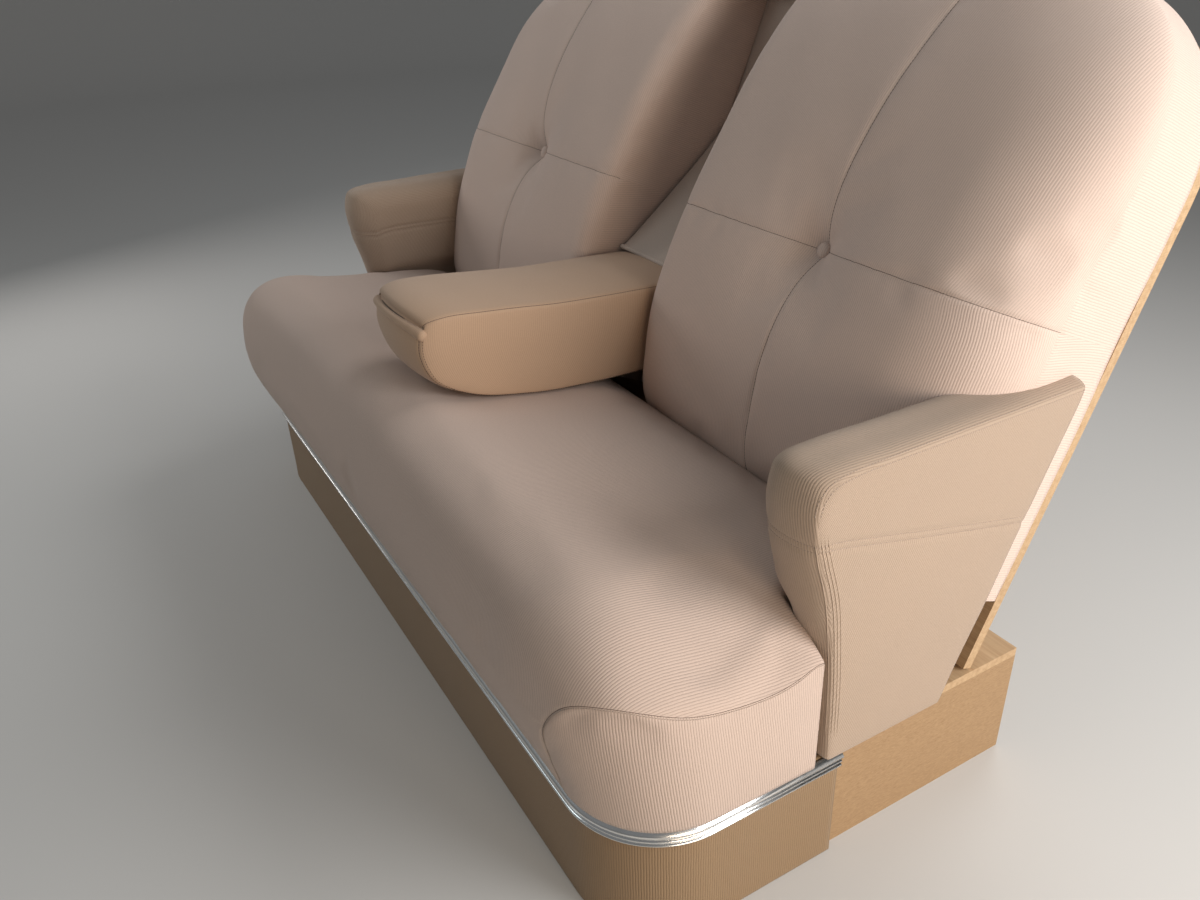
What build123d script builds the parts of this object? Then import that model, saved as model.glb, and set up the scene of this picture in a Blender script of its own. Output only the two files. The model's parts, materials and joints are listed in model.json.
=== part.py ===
from build123d import *
import os
from math import cos, radians, sin

os.makedirs("parts", exist_ok=True)

# Rear bench seat of a large 1940s car: a T-shaped spring cushion on a wooden base,
# two tufted back cushions with a fold-down armrest between them, and a side armrest
# at each end. Millimetres. X runs across the car, -Y is the way the seat faces, +Z is up.
# The origin is the centre of the four floor bolts, on the floor.

# Overall sizes
seat_half_width = 712.0
seat_deck_top = 170.0
floor_bolt_inset = 192.0
floor_bolt_y = 235.0
floor_bolt_hole_radius = 5.5

# Base, covered in front and round the corners by the riser
riser_front_y = -312.0
riser_rear_y = -20.0
riser_thickness = 9.0
riser_corner_radius = 112.0
base_rear_y = 290.0
rail_thickness = 25.0
deck_thickness = 12.0
cross_rail_x = 237.0
angle_thickness = 5.0
angle_width = 60.0
angle_height = 80.0
angle_margin = 20.0

# Chrome moulding: two narrow beads and one wide bead, from the bottom up
moulding_backing = 2.5
moulding_beads = [(6.0, 2.8), (6.0, 2.8), (12.0, 5.8)]  # height, projection

# Seat cushion: heights are above the deck, reaches are back from its front foot
cushion_rear_y = 118.0
cushion_t_rear_y = -68.0
cushion_rear_inset = 80.0
cushion_front_bulge = 30.0
cushion_front_overhang = 10.0
cushion_front_height = 222.0
cushion_crown_reach = 58.0
cushion_crown_height = 251.0
cushion_middle_height = 228.0
cushion_rear_crest_depth = 78.0
cushion_rear_crest_height = 204.0
cushion_rear_height = 130.0
cushion_shoulder_height = 148.0
cushion_shoulder_width = 120.0
cushion_shoulder_drop = 7.0

# Leaning plane of the backs: its origin is level with the armrest hinge
back_lean = 23.0
armrest_hinge_y = 212.0
armrest_hinge_z = 452.0
hinge_to_board = 93.0
board_thickness = 15.0
board_inset = 22.0
board_top = 548.0
board_corner_radius = 215.0

# Back cushions
back_inner_x = 102.0
back_bottom = -165.0
back_overhang = 8.0
back_tip = 14.0
back_bottom_depth = 112.0
back_low_reach = 35.0
back_low_depth = 170.0
back_full_up = 162.0
back_full_depth = 206.0
back_high_up = 470.0
back_high_depth = 132.0
back_crown = 7.0
back_inner_roll = 24.0
back_outer_roll = 72.0
back_inner_corner_radius = 60.0
back_outer_corner_radius = 220.0
button_x = 378.0
button_up = 168.0
tuft_depth = 42.0
tuft_radius = 85.0
button_radius = 10.5
button_height = 6.0
button_clearance = 0.5

# Recess between the backs
recess_panel_thickness = 10.0
recess_clearance = 1.0
header_bottom = 506.0
header_depth = 104.0
header_top_depth = 24.0
apron_thickness = 4.0
apron_half_width = 94.0
apron_top = 312.0
apron_lift = 4.0

# Centre armrest
armrest_half_width = 96.0
armrest_rear_y = 188.0
armrest_top_rear_z = 520.0
armrest_bottom_rear_z = 387.0
armrest_nose_y = -252.0
armrest_nose_corner_width = 46.0
armrest_nose_corner_depth = 43.0
armrest_nose_bow = 5.0
armrest_chin_reach = 44.0
armrest_chin_z = 434.0
armrest_crest_reach = 75.0
armrest_crest_z = 552.0
pull_lip_radius = 6.0
pull_lip_z = 531.0
pull_lip_inset = 8.0
pull_lip_sweep = 21.0
pull_lip_arch = 3.0
hinge_arm_x = 50.0
hinge_arm_thickness = 6.0
hinge_arm_half_height = 14.0
hinge_arm_front_y = 70.0
hinge_pin_radius = 6.0
hinge_pin_clearance = 0.05
hinge_eye_radius = 16.0
hinge_ear_gap = 5.0
hinge_ear_thickness = 6.0
hinge_ear_radius = 18.0
hinge_foot_width = 30.0
hinge_foot_length = 72.0
hinge_foot_drop = 22.0
hinge_foot_thickness = 5.0
hinge_pin_end = 3.0
stop_bar_setback = 9.0
stop_bar_radius = 4.0
stop_bar_clearance = 0.5

# Side armrests
side_pad_width = 92.0
side_foot_width = 71.0
side_top_z = 551.0
side_seam_z = 452.0
side_rear_depth = 60.0
side_nose_y = -95.0
side_inner_nose_radius = 38.0
side_outer_nose_radius = 12.0
side_nose_length = 37.0
side_nose_drop = 29.0
side_nose_bow = 3.0
side_seam_reach = 9.0
side_edge_chamfer = 6.0
side_shoulder_width = 42.0
side_shoulder_drop = 36.0
side_draft = 2.0
side_step_z = 395.0
side_knee_y = -58.0
side_knee_z = 338.0
side_foot_y = -46.0

# Back frame
post_width = 45.0
post_depth = 30.0
post_positions = [-640.0, -130.0, 130.0, 640.0]
gusset_positions = [-590.0, -200.0, 200.0, 590.0]
gusset_thickness = 18.0
hanger_x = 420.0
hanger_width = 60.0
hanger_plate = 4.0
hanger_clearance = 24.0
hanger_leg = 60.0
hanger_reach = 24.0
hanger_upright = 75.0
hanger_hole_drop = 45.0
hanger_hole_radius = 5.0

# Widths that follow the seat's
floor_bolt_x = seat_half_width - floor_bolt_inset
board_half_width = seat_half_width - board_inset
back_outer_x = board_half_width
cushion_rear_half_width = seat_half_width - cushion_rear_inset
side_outer_x = seat_half_width
side_inner_x = side_outer_x - side_pad_width
side_foot_inner_x = side_outer_x - side_foot_width

# Heights up the board
back_top = board_top + back_overhang
post_top = board_top - board_corner_radius
hanger_up = post_top + post_width + hanger_clearance + hanger_leg

# Planes of the leaning backs
lean = radians(back_lean)
up_lean = (0, sin(lean), cos(lean))
front_lean = (0, -cos(lean), sin(lean))
back_origin = (
    0,
    armrest_hinge_y + hinge_to_board * cos(lean),
    armrest_hinge_z - hinge_to_board * sin(lean),
)
board_bottom = (seat_deck_top - back_origin[2] + board_thickness * sin(lean)) / cos(lean)
post_bottom = board_bottom + post_depth * sin(lean) / cos(lean)
back_face = Plane(origin=back_origin, x_dir=(1, 0, 0), z_dir=front_lean)
back_side = Plane(origin=back_origin, x_dir=up_lean, z_dir=(1, 0, 0))
back_plan = Plane(origin=back_origin, x_dir=(1, 0, 0), z_dir=(0, -sin(lean), -cos(lean)))
side_view = Plane(origin=(0, 0, 0), x_dir=(0, 1, 0), z_dir=(1, 0, 0))
front_view = Plane(origin=(0, 0, 0), x_dir=(1, 0, 0), z_dir=(0, -1, 0))
reach = 1600.0


def on_back(up, out):
    """Y and Z of a point given along and out from the leaning board."""
    y = back_origin[1] + up * sin(lean) - out * cos(lean)
    z = back_origin[2] + up * cos(lean) + out * sin(lean)
    return y, z


def between(first, second, across, along):
    """Point part of the way from one point of a profile to another, by a share each way."""
    return (
        first[0] + across * (second[0] - first[0]),
        first[1] + along * (second[1] - first[1]),
    )


# Base
riser_side_x = seat_half_width - moulding_backing - moulding_beads[2][1]
base_front_y = riser_front_y + riser_thickness
base_side_x = riser_side_x - riser_thickness
base_corner_radius = riser_corner_radius - riser_thickness
rail_height = seat_deck_top - deck_thickness
corner_centre = (base_side_x - base_corner_radius, base_front_y + base_corner_radius)

with BuildPart() as seat_riser:
    with BuildSketch(Plane.XY):
        with BuildLine():
            outer = FilletPolyline(
                (-riser_side_x, riser_rear_y), (-riser_side_x, riser_front_y),
                (riser_side_x, riser_front_y), (riser_side_x, riser_rear_y),
                radius=riser_corner_radius,
            )
            inner = FilletPolyline(
                (-base_side_x, riser_rear_y), (-base_side_x, base_front_y),
                (base_side_x, base_front_y), (base_side_x, riser_rear_y),
                radius=base_corner_radius,
            )
            Line(outer @ 0, inner @ 0)
            Line(outer @ 1, inner @ 1)
        make_face()
    extrude(amount=seat_deck_top)
seat_riser.part.label = "seat_riser"
export_step(seat_riser.part, "parts/seat_riser.step")

moulding_height = sum(height for height, projection in moulding_beads)
with BuildPart() as riser_moulding:
    with BuildLine() as moulding_path:
        FilletPolyline(
            (riser_side_x, riser_rear_y, seat_deck_top - moulding_height),
            (riser_side_x, riser_front_y, seat_deck_top - moulding_height),
            (-riser_side_x, riser_front_y, seat_deck_top - moulding_height),
            (-riser_side_x, riser_rear_y, seat_deck_top - moulding_height),
            radius=riser_corner_radius,
        )
    moulding_start = Plane(origin=moulding_path.line @ 0, x_dir=(1, 0, 0), z_dir=(0, -1, 0))
    with BuildSketch(moulding_start):
        with BuildLine():
            Line((0, 0), (moulding_backing, 0))
            bead_bottom = 0.0
            for bead_height, bead_projection in moulding_beads:
                Polyline(
                    (moulding_backing, bead_bottom),
                    (moulding_backing + bead_projection, bead_bottom + 0.28 * bead_height),
                    (moulding_backing + bead_projection, bead_bottom + 0.72 * bead_height),
                    (moulding_backing, bead_bottom + bead_height),
                )
                bead_bottom += bead_height
            Line((moulding_backing, bead_bottom), (0, bead_bottom))
            Line((0, bead_bottom), (0, 0))
        make_face()
    sweep(path=moulding_path.line)
riser_moulding.part.label = "riser_moulding"
export_step(riser_moulding.part, "parts/riser_moulding.step")

with BuildPart() as base_front_rail:
    with BuildSketch(Plane.XY):
        with Locations((0, base_front_y + rail_thickness / 2)):
            Rectangle(2 * corner_centre[0], rail_thickness)
    extrude(amount=rail_height)
base_front_rail.part.label = "base_front_rail"
export_step(base_front_rail.part, "parts/base_front_rail.step")

with BuildPart() as base_rear_rail:
    with BuildSketch(Plane.XY):
        with Locations((0, base_rear_y - rail_thickness / 2)):
            Rectangle(2 * base_side_x, rail_thickness)
    extrude(amount=rail_height)
base_rear_rail.part.label = "base_rear_rail"
export_step(base_rear_rail.part, "parts/base_rear_rail.step")

end_rail_length = base_rear_y - rail_thickness - corner_centre[1]
with BuildPart() as base_end_rails:
    with BuildSketch(Plane.XY):
        with Locations((base_side_x - rail_thickness / 2, corner_centre[1] + end_rail_length / 2)):
            Rectangle(rail_thickness, end_rail_length)
        mirror(about=Plane.YZ)
    extrude(amount=rail_height)
base_end_rails.part.label = "base_end_rails"
export_step(base_end_rails.part, "parts/base_end_rails.step")

with BuildPart() as base_corner_blocks:
    with BuildSketch(Plane.XY):
        with Locations(corner_centre):
            Circle(base_corner_radius)
            Circle(base_corner_radius - rail_thickness, mode=Mode.SUBTRACT)
        with Locations(corner_centre):
            Rectangle(
                base_corner_radius, base_corner_radius,
                align=(Align.MIN, Align.MAX), mode=Mode.INTERSECT,
            )
        mirror(about=Plane.YZ)
    extrude(amount=rail_height)
base_corner_blocks.part.label = "base_corner_blocks"
export_step(base_corner_blocks.part, "parts/base_corner_blocks.step")

cross_rail_front_y = base_front_y + rail_thickness
cross_rail_length = base_rear_y - rail_thickness - cross_rail_front_y
with BuildPart() as base_cross_rails:
    with BuildSketch(Plane.XY):
        with Locations(
            (-cross_rail_x, cross_rail_front_y + cross_rail_length / 2),
            (cross_rail_x, cross_rail_front_y + cross_rail_length / 2),
        ):
            Rectangle(rail_thickness, cross_rail_length)
    extrude(amount=rail_height)
base_cross_rails.part.label = "base_cross_rails"
export_step(base_cross_rails.part, "parts/base_cross_rails.step")

with BuildPart() as seat_deck:
    with BuildSketch(Plane.XY.offset(rail_height)):
        with BuildLine():
            front_edge = FilletPolyline(
                (-base_side_x, base_rear_y), (-base_side_x, base_front_y),
                (base_side_x, base_front_y), (base_side_x, base_rear_y),
                radius=base_corner_radius,
            )
            Line(front_edge @ 0, front_edge @ 1)
        make_face()
    extrude(amount=deck_thickness)
seat_deck.part.label = "seat_deck"
export_step(seat_deck.part, "parts/seat_deck.step")

# Steel angles: the foot of each takes one floor bolt
front_rail_face = base_front_y + rail_thickness
rear_rail_face = base_rear_y - rail_thickness
front_foot_length = -floor_bolt_y + angle_margin - front_rail_face
rear_foot_length = rear_rail_face - floor_bolt_y + angle_margin
with BuildPart() as floor_brackets:
    with BuildSketch(Plane.YZ.offset(floor_bolt_x - angle_width / 2)):
        with Locations((front_rail_face, 0)):
            Rectangle(front_foot_length, angle_thickness, align=(Align.MIN, Align.MIN))
            Rectangle(angle_thickness, angle_height, align=(Align.MIN, Align.MIN))
        with Locations((rear_rail_face, 0)):
            Rectangle(rear_foot_length, angle_thickness, align=(Align.MAX, Align.MIN))
            Rectangle(angle_thickness, angle_height, align=(Align.MAX, Align.MIN))
    extrude(amount=angle_width)
    mirror(about=Plane.YZ)
    with Locations(Plane.XY.offset(angle_thickness)):
        with GridLocations(2 * floor_bolt_x, 2 * floor_bolt_y, 2, 2):
            Hole(floor_bolt_hole_radius, depth=angle_thickness)
floor_brackets.part.label = "floor_brackets"
export_step(floor_brackets.part, "parts/floor_brackets.step")

# Seat cushion: side profile, front profile and T-shaped plan, met in one solid
cushion_front_y = riser_front_y - moulding_backing - moulding_beads[2][1]
cushion_crown_z = seat_deck_top + cushion_crown_height
front_foot = (cushion_front_y, seat_deck_top)
front_top = (cushion_front_y - cushion_front_overhang, seat_deck_top + cushion_front_height)
crown_top = (cushion_front_y + cushion_crown_reach, cushion_crown_z)
rear_crest = (cushion_rear_y - cushion_rear_crest_depth, seat_deck_top + cushion_rear_crest_height)
rear_edge = (cushion_rear_y, seat_deck_top + cushion_rear_height)
shoulder_low = (seat_half_width, seat_deck_top + cushion_shoulder_height)
shoulder_top = (seat_half_width - cushion_shoulder_width, cushion_crown_z - cushion_shoulder_drop)
with BuildPart() as seat_cushion:
    with BuildSketch(side_view.offset(-seat_half_width)):
        with BuildLine():
            Line((cushion_rear_y, seat_deck_top), front_foot)
            ThreePointArc(
                front_foot,
                (cushion_front_y - cushion_front_bulge, seat_deck_top + 0.65 * cushion_front_height),
                front_top,
            )
            ThreePointArc(front_top, between(front_top, crown_top, 0.39, 0.83), crown_top)
            ThreePointArc(
                crown_top,
                ((crown_top[0] + rear_crest[0]) / 2, seat_deck_top + cushion_middle_height),
                rear_crest,
            )
            ThreePointArc(rear_crest, between(rear_crest, rear_edge, 0.65, 0.42), rear_edge)
            Line(rear_edge, (cushion_rear_y, seat_deck_top))
        make_face()
    extrude(amount=2 * seat_half_width)
    with BuildSketch(front_view):
        with BuildLine():
            Line((0, seat_deck_top), (seat_half_width, seat_deck_top))
            Line((seat_half_width, seat_deck_top), shoulder_low)
            ThreePointArc(shoulder_low, between(shoulder_low, shoulder_top, 0.225, 0.667), shoulder_top)
            ThreePointArc(
                shoulder_top,
                (shoulder_top[0] / 2, cushion_crown_z),
                (0, cushion_crown_z + 0.3 * cushion_shoulder_drop),
            )
            Line((0, cushion_crown_z + 0.3 * cushion_shoulder_drop), (0, seat_deck_top))
        make_face()
        mirror(about=Plane.YZ)
    extrude(amount=reach, both=True, mode=Mode.INTERSECT)
    with BuildSketch(Plane.XY):
        with BuildLine():
            front = cushion_front_y - cushion_front_bulge
            plan = FilletPolyline(
                (-seat_half_width, cushion_t_rear_y), (-seat_half_width, front),
                (seat_half_width, front), (seat_half_width, cushion_t_rear_y),
                radius=riser_corner_radius,
            )
            Polyline(
                plan @ 1, (cushion_rear_half_width, cushion_t_rear_y),
                (cushion_rear_half_width, cushion_rear_y),
                (-cushion_rear_half_width, cushion_rear_y),
                (-cushion_rear_half_width, cushion_t_rear_y), plan @ 0,
            )
        make_face()
    extrude(amount=reach, mode=Mode.INTERSECT)
seat_cushion.part.label = "seat_cushion"
export_step(seat_cushion.part, "parts/seat_cushion.step")

# Back board and the frame behind it
with BuildPart() as back_board:
    with BuildSketch(back_face.offset(-board_thickness)):
        with BuildLine():
            crown = FilletPolyline(
                (-board_half_width, board_bottom), (-board_half_width, board_top),
                (board_half_width, board_top), (board_half_width, board_bottom),
                radius=board_corner_radius,
            )
            Line(crown @ 0, crown @ 1)
        make_face()
    extrude(amount=board_thickness)
back_board.part.label = "back_board"
export_step(back_board.part, "parts/back_board.step")

with BuildPart() as back_posts:
    with BuildSketch(back_face.offset(-board_thickness)):
        for post_x in post_positions:
            with Locations((post_x, (post_bottom + post_top) / 2)):
                Rectangle(post_width, post_top - post_bottom)
    extrude(amount=-post_depth)
back_posts.part.label = "back_posts"
export_step(back_posts.part, "parts/back_posts.step")

with BuildPart() as back_top_rail:
    with BuildSketch(back_face.offset(-board_thickness)):
        with Locations((0, post_top)):
            Rectangle(
                2 * post_positions[-1] + post_width, post_width, align=(Align.CENTER, Align.MIN),
            )
    extrude(amount=-post_depth)
back_top_rail.part.label = "back_top_rail"
export_step(back_top_rail.part, "parts/back_top_rail.step")

# Plywood gussets between the deck and the back of the board
board_back_y, board_back_z = on_back(0, -board_thickness)
gusset_front_y = board_back_y - (board_back_z - seat_deck_top) * sin(lean) / cos(lean)
gusset_top_z = board_back_z + (base_rear_y - board_back_y) * cos(lean) / sin(lean)
with BuildPart() as back_gussets:
    for gusset_x in gusset_positions:
        with BuildSketch(side_view.offset(gusset_x - gusset_thickness / 2)):
            with BuildLine():
                Polyline(
                    (gusset_front_y, seat_deck_top), (base_rear_y, seat_deck_top),
                    (base_rear_y, gusset_top_z), close=True,
                )
            make_face()
    extrude(amount=gusset_thickness)
back_gussets.part.label = "back_gussets"
export_step(back_gussets.part, "parts/back_gussets.step")

# Steel hangers: one leg on the leaning board, the other upright for a bolt
hanger_low = on_back(hanger_up - hanger_leg, -board_thickness)
hanger_bend = on_back(hanger_up, -board_thickness)
hanger_wall_y = hanger_bend[0] + hanger_reach
hanger_foot_z = hanger_bend[1] - hanger_upright
hanger_hole_z = hanger_bend[1] - hanger_hole_drop
with BuildPart() as back_hangers:
    with BuildSketch(side_view.offset(hanger_x - hanger_width / 2)):
        with BuildLine():
            Polyline(
                hanger_low, hanger_bend, (hanger_wall_y, hanger_bend[1]),
                (hanger_wall_y, hanger_foot_z), (hanger_wall_y - hanger_plate, hanger_foot_z),
                (hanger_wall_y - hanger_plate, hanger_bend[1] - hanger_plate),
                (hanger_bend[0] + hanger_plate, hanger_bend[1] - hanger_plate),
                (hanger_low[0] + hanger_plate / cos(lean), hanger_low[1]),
                close=True,
            )
        make_face()
    extrude(amount=hanger_width)
    mirror(about=Plane.YZ)
    with BuildSketch(front_view.offset(-hanger_wall_y)):
        with Locations((-hanger_x, hanger_hole_z), (hanger_x, hanger_hole_z)):
            Circle(hanger_hole_radius)
    extrude(amount=hanger_plate, mode=Mode.SUBTRACT)
back_hangers.part.label = "back_hangers"
export_step(back_hangers.part, "parts/back_hangers.step")

# Back cushions: side profile, plan and outline, met in one solid, with a button tuft
back_width = back_outer_x - back_inner_x
back_thickness = back_full_depth + back_crown
back_foot = (back_bottom, back_bottom_depth)
back_low = (back_bottom + back_low_reach, back_low_depth)
back_full = (back_full_up, back_full_depth)
back_high = (back_high_up, back_high_depth)
back_end = (back_top + back_tip, 0)
tuft_floor = back_full_depth - tuft_depth
tuft_top = back_thickness + tuft_depth
tuft_rim = back_full_depth + 0.6 * back_crown
tuft_plane = Plane(
    origin=back_face.from_local_coords((button_x, button_up, 0)), x_dir=(1, 0, 0), z_dir=back_plan.z_dir,
)
with BuildPart() as left_back_cushion:
    with BuildSketch(back_side.offset(back_inner_x)):
        with BuildLine():
            Line(back_end, (back_bottom, 0))
            Line((back_bottom, 0), back_foot)
            ThreePointArc(back_foot, between(back_foot, back_low, 0.34, 0.59), back_low)
            ThreePointArc(back_low, ((back_low[0] + back_full[0]) / 2, back_full_depth), back_full)
            ThreePointArc(back_full, between(back_full, back_high, 0.53, 0.35), back_high)
            ThreePointArc(back_high, between(back_high, back_end, 0.6, 0.3), back_end)
        make_face()
    extrude(amount=back_width)
    with BuildSketch(back_plan):
        with BuildLine():
            Line((back_outer_x, 0), (back_inner_x, 0))
            Line((back_inner_x, 0), (back_inner_x, back_thickness - back_inner_roll))
            ThreePointArc(
                (back_inner_x, back_thickness - back_inner_roll),
                (back_inner_x + 0.3 * back_inner_roll, back_thickness - 0.3 * back_inner_roll),
                (back_inner_x + back_inner_roll, back_thickness),
            )
            Line(
                (back_inner_x + back_inner_roll, back_thickness),
                (back_outer_x - 1.4 * back_outer_roll, back_thickness),
            )
            ThreePointArc(
                (back_outer_x - 1.4 * back_outer_roll, back_thickness),
                (back_outer_x - 0.35 * back_outer_roll, back_thickness - 0.35 * back_outer_roll),
                (back_outer_x, back_thickness - 1.2 * back_outer_roll),
            )
            Line((back_outer_x, back_thickness - 1.2 * back_outer_roll), (back_outer_x, 0))
        make_face()
    extrude(amount=reach, both=True, mode=Mode.INTERSECT)
    with BuildSketch(back_face):
        with BuildLine():
            Line((back_inner_x, back_bottom), (back_inner_x, back_top - back_inner_corner_radius))
            RadiusArc(
                (back_inner_x, back_top - back_inner_corner_radius),
                (back_inner_x + back_inner_corner_radius, back_top),
                back_inner_corner_radius,
            )
            Line(
                (back_inner_x + back_inner_corner_radius, back_top),
                (back_outer_x - back_outer_corner_radius, back_top),
            )
            RadiusArc(
                (back_outer_x - back_outer_corner_radius, back_top),
                (back_outer_x, back_top - back_outer_corner_radius),
                back_outer_corner_radius,
            )
            Line((back_outer_x, back_top - back_outer_corner_radius), (back_outer_x, back_bottom))
            Line((back_outer_x, back_bottom), (back_inner_x, back_bottom))
        make_face()
    extrude(amount=back_thickness, mode=Mode.INTERSECT)
    with BuildSketch(tuft_plane):
        with BuildLine():
            Polyline(
                (0, tuft_top), (0, tuft_floor), (button_radius + button_clearance, tuft_floor),
                between((0, tuft_floor), (tuft_radius, tuft_rim), 0.45, 0.62),
                (tuft_radius, tuft_rim), (tuft_radius, tuft_top), close=True,
            )
        make_face()
    revolve(axis=Axis(tuft_plane.origin, front_lean), mode=Mode.SUBTRACT)
left_back_cushion.part.label = "left_back_cushion"
export_step(left_back_cushion.part, "parts/left_back_cushion.step")

with BuildPart() as right_back_cushion:
    mirror(left_back_cushion.part, about=Plane.YZ)
right_back_cushion.part.label = "right_back_cushion"
export_step(right_back_cushion.part, "parts/right_back_cushion.step")

with BuildPart() as left_back_button:
    with BuildSketch(back_face.offset(tuft_floor)):
        with Locations((button_x, button_up)):
            Circle(button_radius)
    extrude(amount=button_height)
    button_front = left_back_button.faces().sort_by(Axis(back_origin, front_lean))[-1]
    chamfer(button_front.edges(), length=button_height / 3)
left_back_button.part.label = "left_back_button"
export_step(left_back_button.part, "parts/left_back_button.step")

with BuildPart() as right_back_button:
    mirror(left_back_button.part, about=Plane.YZ)
right_back_button.part.label = "right_back_button"
export_step(right_back_button.part, "parts/right_back_button.step")

# Recess between the backs
recess_half_width = back_inner_x - recess_clearance
with BuildPart() as recess_panel:
    with BuildSketch(back_face):
        with Locations((0, (back_bottom + back_top) / 2)):
            Rectangle(2 * recess_half_width, back_top - back_bottom)
    extrude(amount=recess_panel_thickness)
recess_panel.part.label = "recess_panel"
export_step(recess_panel.part, "parts/recess_panel.step")

header_front = (header_bottom, header_depth)
header_back = (back_top, header_top_depth)
with BuildPart() as recess_header:
    with BuildSketch(back_side.offset(-recess_half_width)):
        with BuildLine():
            Line((back_top, recess_panel_thickness), (header_bottom, recess_panel_thickness))
            Line((header_bottom, recess_panel_thickness), header_front)
            ThreePointArc(header_front, between(header_front, header_back, 0.6, 0.41), header_back)
            Line(header_back, (back_top, recess_panel_thickness))
        make_face()
    extrude(amount=2 * recess_half_width)
recess_header.part.label = "recess_header"
export_step(recess_header.part, "parts/recess_header.step")

# Cloth apron that closes the recess behind the armrest
apron_high = on_back(apron_top, recess_panel_thickness)
apron_low = (armrest_rear_y + apron_lift / 2, armrest_top_rear_z + apron_lift)
with BuildPart() as recess_apron:
    with BuildSketch(side_view.offset(-apron_half_width)):
        with BuildLine():
            Polyline(
                apron_low, (apron_low[0] - apron_thickness / 2, apron_low[1] + apron_thickness),
                (apron_high[0], apron_high[1] + 1.5 * apron_thickness), apron_high, close=True,
            )
        make_face()
    extrude(amount=2 * apron_half_width)
recess_apron.part.label = "recess_apron"
export_step(recess_apron.part, "parts/recess_apron.step")

# Hinge of the centre armrest: ears on the recess panel, a pin and a stop bar
stop_y = armrest_hinge_y - stop_bar_setback
stop_z = armrest_hinge_z - hinge_arm_half_height - stop_bar_radius - stop_bar_clearance
stop_up = (stop_y - back_origin[1]) * sin(lean) + (stop_z - back_origin[2]) * cos(lean)
stop_out = -(stop_y - back_origin[1]) * cos(lean) + (stop_z - back_origin[2]) * sin(lean)
ear_x = hinge_arm_x + hinge_arm_thickness + hinge_ear_gap
with BuildPart() as hinge_brackets:
    with BuildSketch(back_side.offset(ear_x)):
        with Locations((0, hinge_to_board)):
            Circle(hinge_ear_radius)
        with Locations((stop_up, stop_out)):
            Circle(2 * stop_bar_radius)
        with Locations((-hinge_foot_drop, recess_panel_thickness)):
            Rectangle(hinge_foot_length, hinge_foot_thickness, align=(Align.CENTER, Align.MIN))
        make_hull()
    extrude(amount=hinge_ear_thickness)
    with BuildSketch(back_face.offset(recess_panel_thickness)):
        with Locations((ear_x, -hinge_foot_drop)):
            Rectangle(hinge_foot_width, hinge_foot_length, align=(Align.MIN, Align.CENTER))
    extrude(amount=hinge_foot_thickness)
    mirror(about=Plane.YZ)
    with BuildSketch(back_side.offset(-reach / 2)):
        with Locations((0, hinge_to_board)):
            Circle(hinge_pin_radius + hinge_pin_clearance)
        with Locations((stop_up, stop_out)):
            Circle(stop_bar_radius)
    extrude(amount=reach, mode=Mode.SUBTRACT)
hinge_brackets.part.label = "hinge_brackets"
export_step(hinge_brackets.part, "parts/hinge_brackets.step")

stop_bar_half_length = ear_x + hinge_ear_thickness
with BuildPart() as hinge_stop_bar:
    with BuildSketch(side_view.offset(-stop_bar_half_length)):
        with Locations((stop_y, stop_z)):
            Circle(stop_bar_radius)
    extrude(amount=2 * stop_bar_half_length)
hinge_stop_bar.part.label = "hinge_stop_bar"
export_step(hinge_stop_bar.part, "parts/hinge_stop_bar.step")

pin_half_length = ear_x + hinge_ear_thickness + hinge_pin_end
with BuildPart() as armrest_hinge_pin:
    with BuildSketch(side_view.offset(-pin_half_length)):
        with Locations((armrest_hinge_y, armrest_hinge_z)):
            Circle(hinge_pin_radius)
    extrude(amount=2 * pin_half_length)
armrest_hinge_pin.part.label = "armrest_hinge_pin"
export_step(armrest_hinge_pin.part, "parts/armrest_hinge_pin.step")

with BuildPart() as armrest_hinge_arms:
    with BuildSketch(side_view.offset(hinge_arm_x)):
        with Locations((armrest_hinge_y, armrest_hinge_z)):
            Circle(hinge_eye_radius)
            Rectangle(
                armrest_hinge_y - hinge_arm_front_y, 2 * hinge_arm_half_height,
                align=(Align.MAX, Align.CENTER),
            )
            Circle(hinge_pin_radius, mode=Mode.SUBTRACT)
    extrude(amount=hinge_arm_thickness)
    mirror(about=Plane.YZ)
armrest_hinge_arms.part.label = "armrest_hinge_arms"
export_step(armrest_hinge_arms.part, "parts/armrest_hinge_arms.step")

# Rolled pull lip round the top of the armrest's nose
lip_end_y = armrest_nose_y + pull_lip_sweep
lip_end_z = pull_lip_z - pull_lip_arch
with BuildPart() as armrest_pull_lip:
    with BuildLine() as lip_path:
        ThreePointArc(
            (armrest_half_width - pull_lip_inset, lip_end_y, lip_end_z),
            (0, armrest_nose_y, pull_lip_z + pull_lip_arch),
            (-armrest_half_width + pull_lip_inset, lip_end_y, lip_end_z),
        )
    lip_start = Plane(origin=lip_path.line @ 0, x_dir=(0, 0, 1), z_dir=lip_path.line % 0)
    with BuildSketch(lip_start):
        Circle(pull_lip_radius)
        Rectangle(3 * pull_lip_radius, pull_lip_radius, align=(Align.CENTER, Align.MAX), mode=Mode.SUBTRACT)
    sweep(path=lip_path.line)
armrest_pull_lip.part.label = "armrest_pull_lip"
export_step(armrest_pull_lip.part, "parts/armrest_pull_lip.step")

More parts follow.
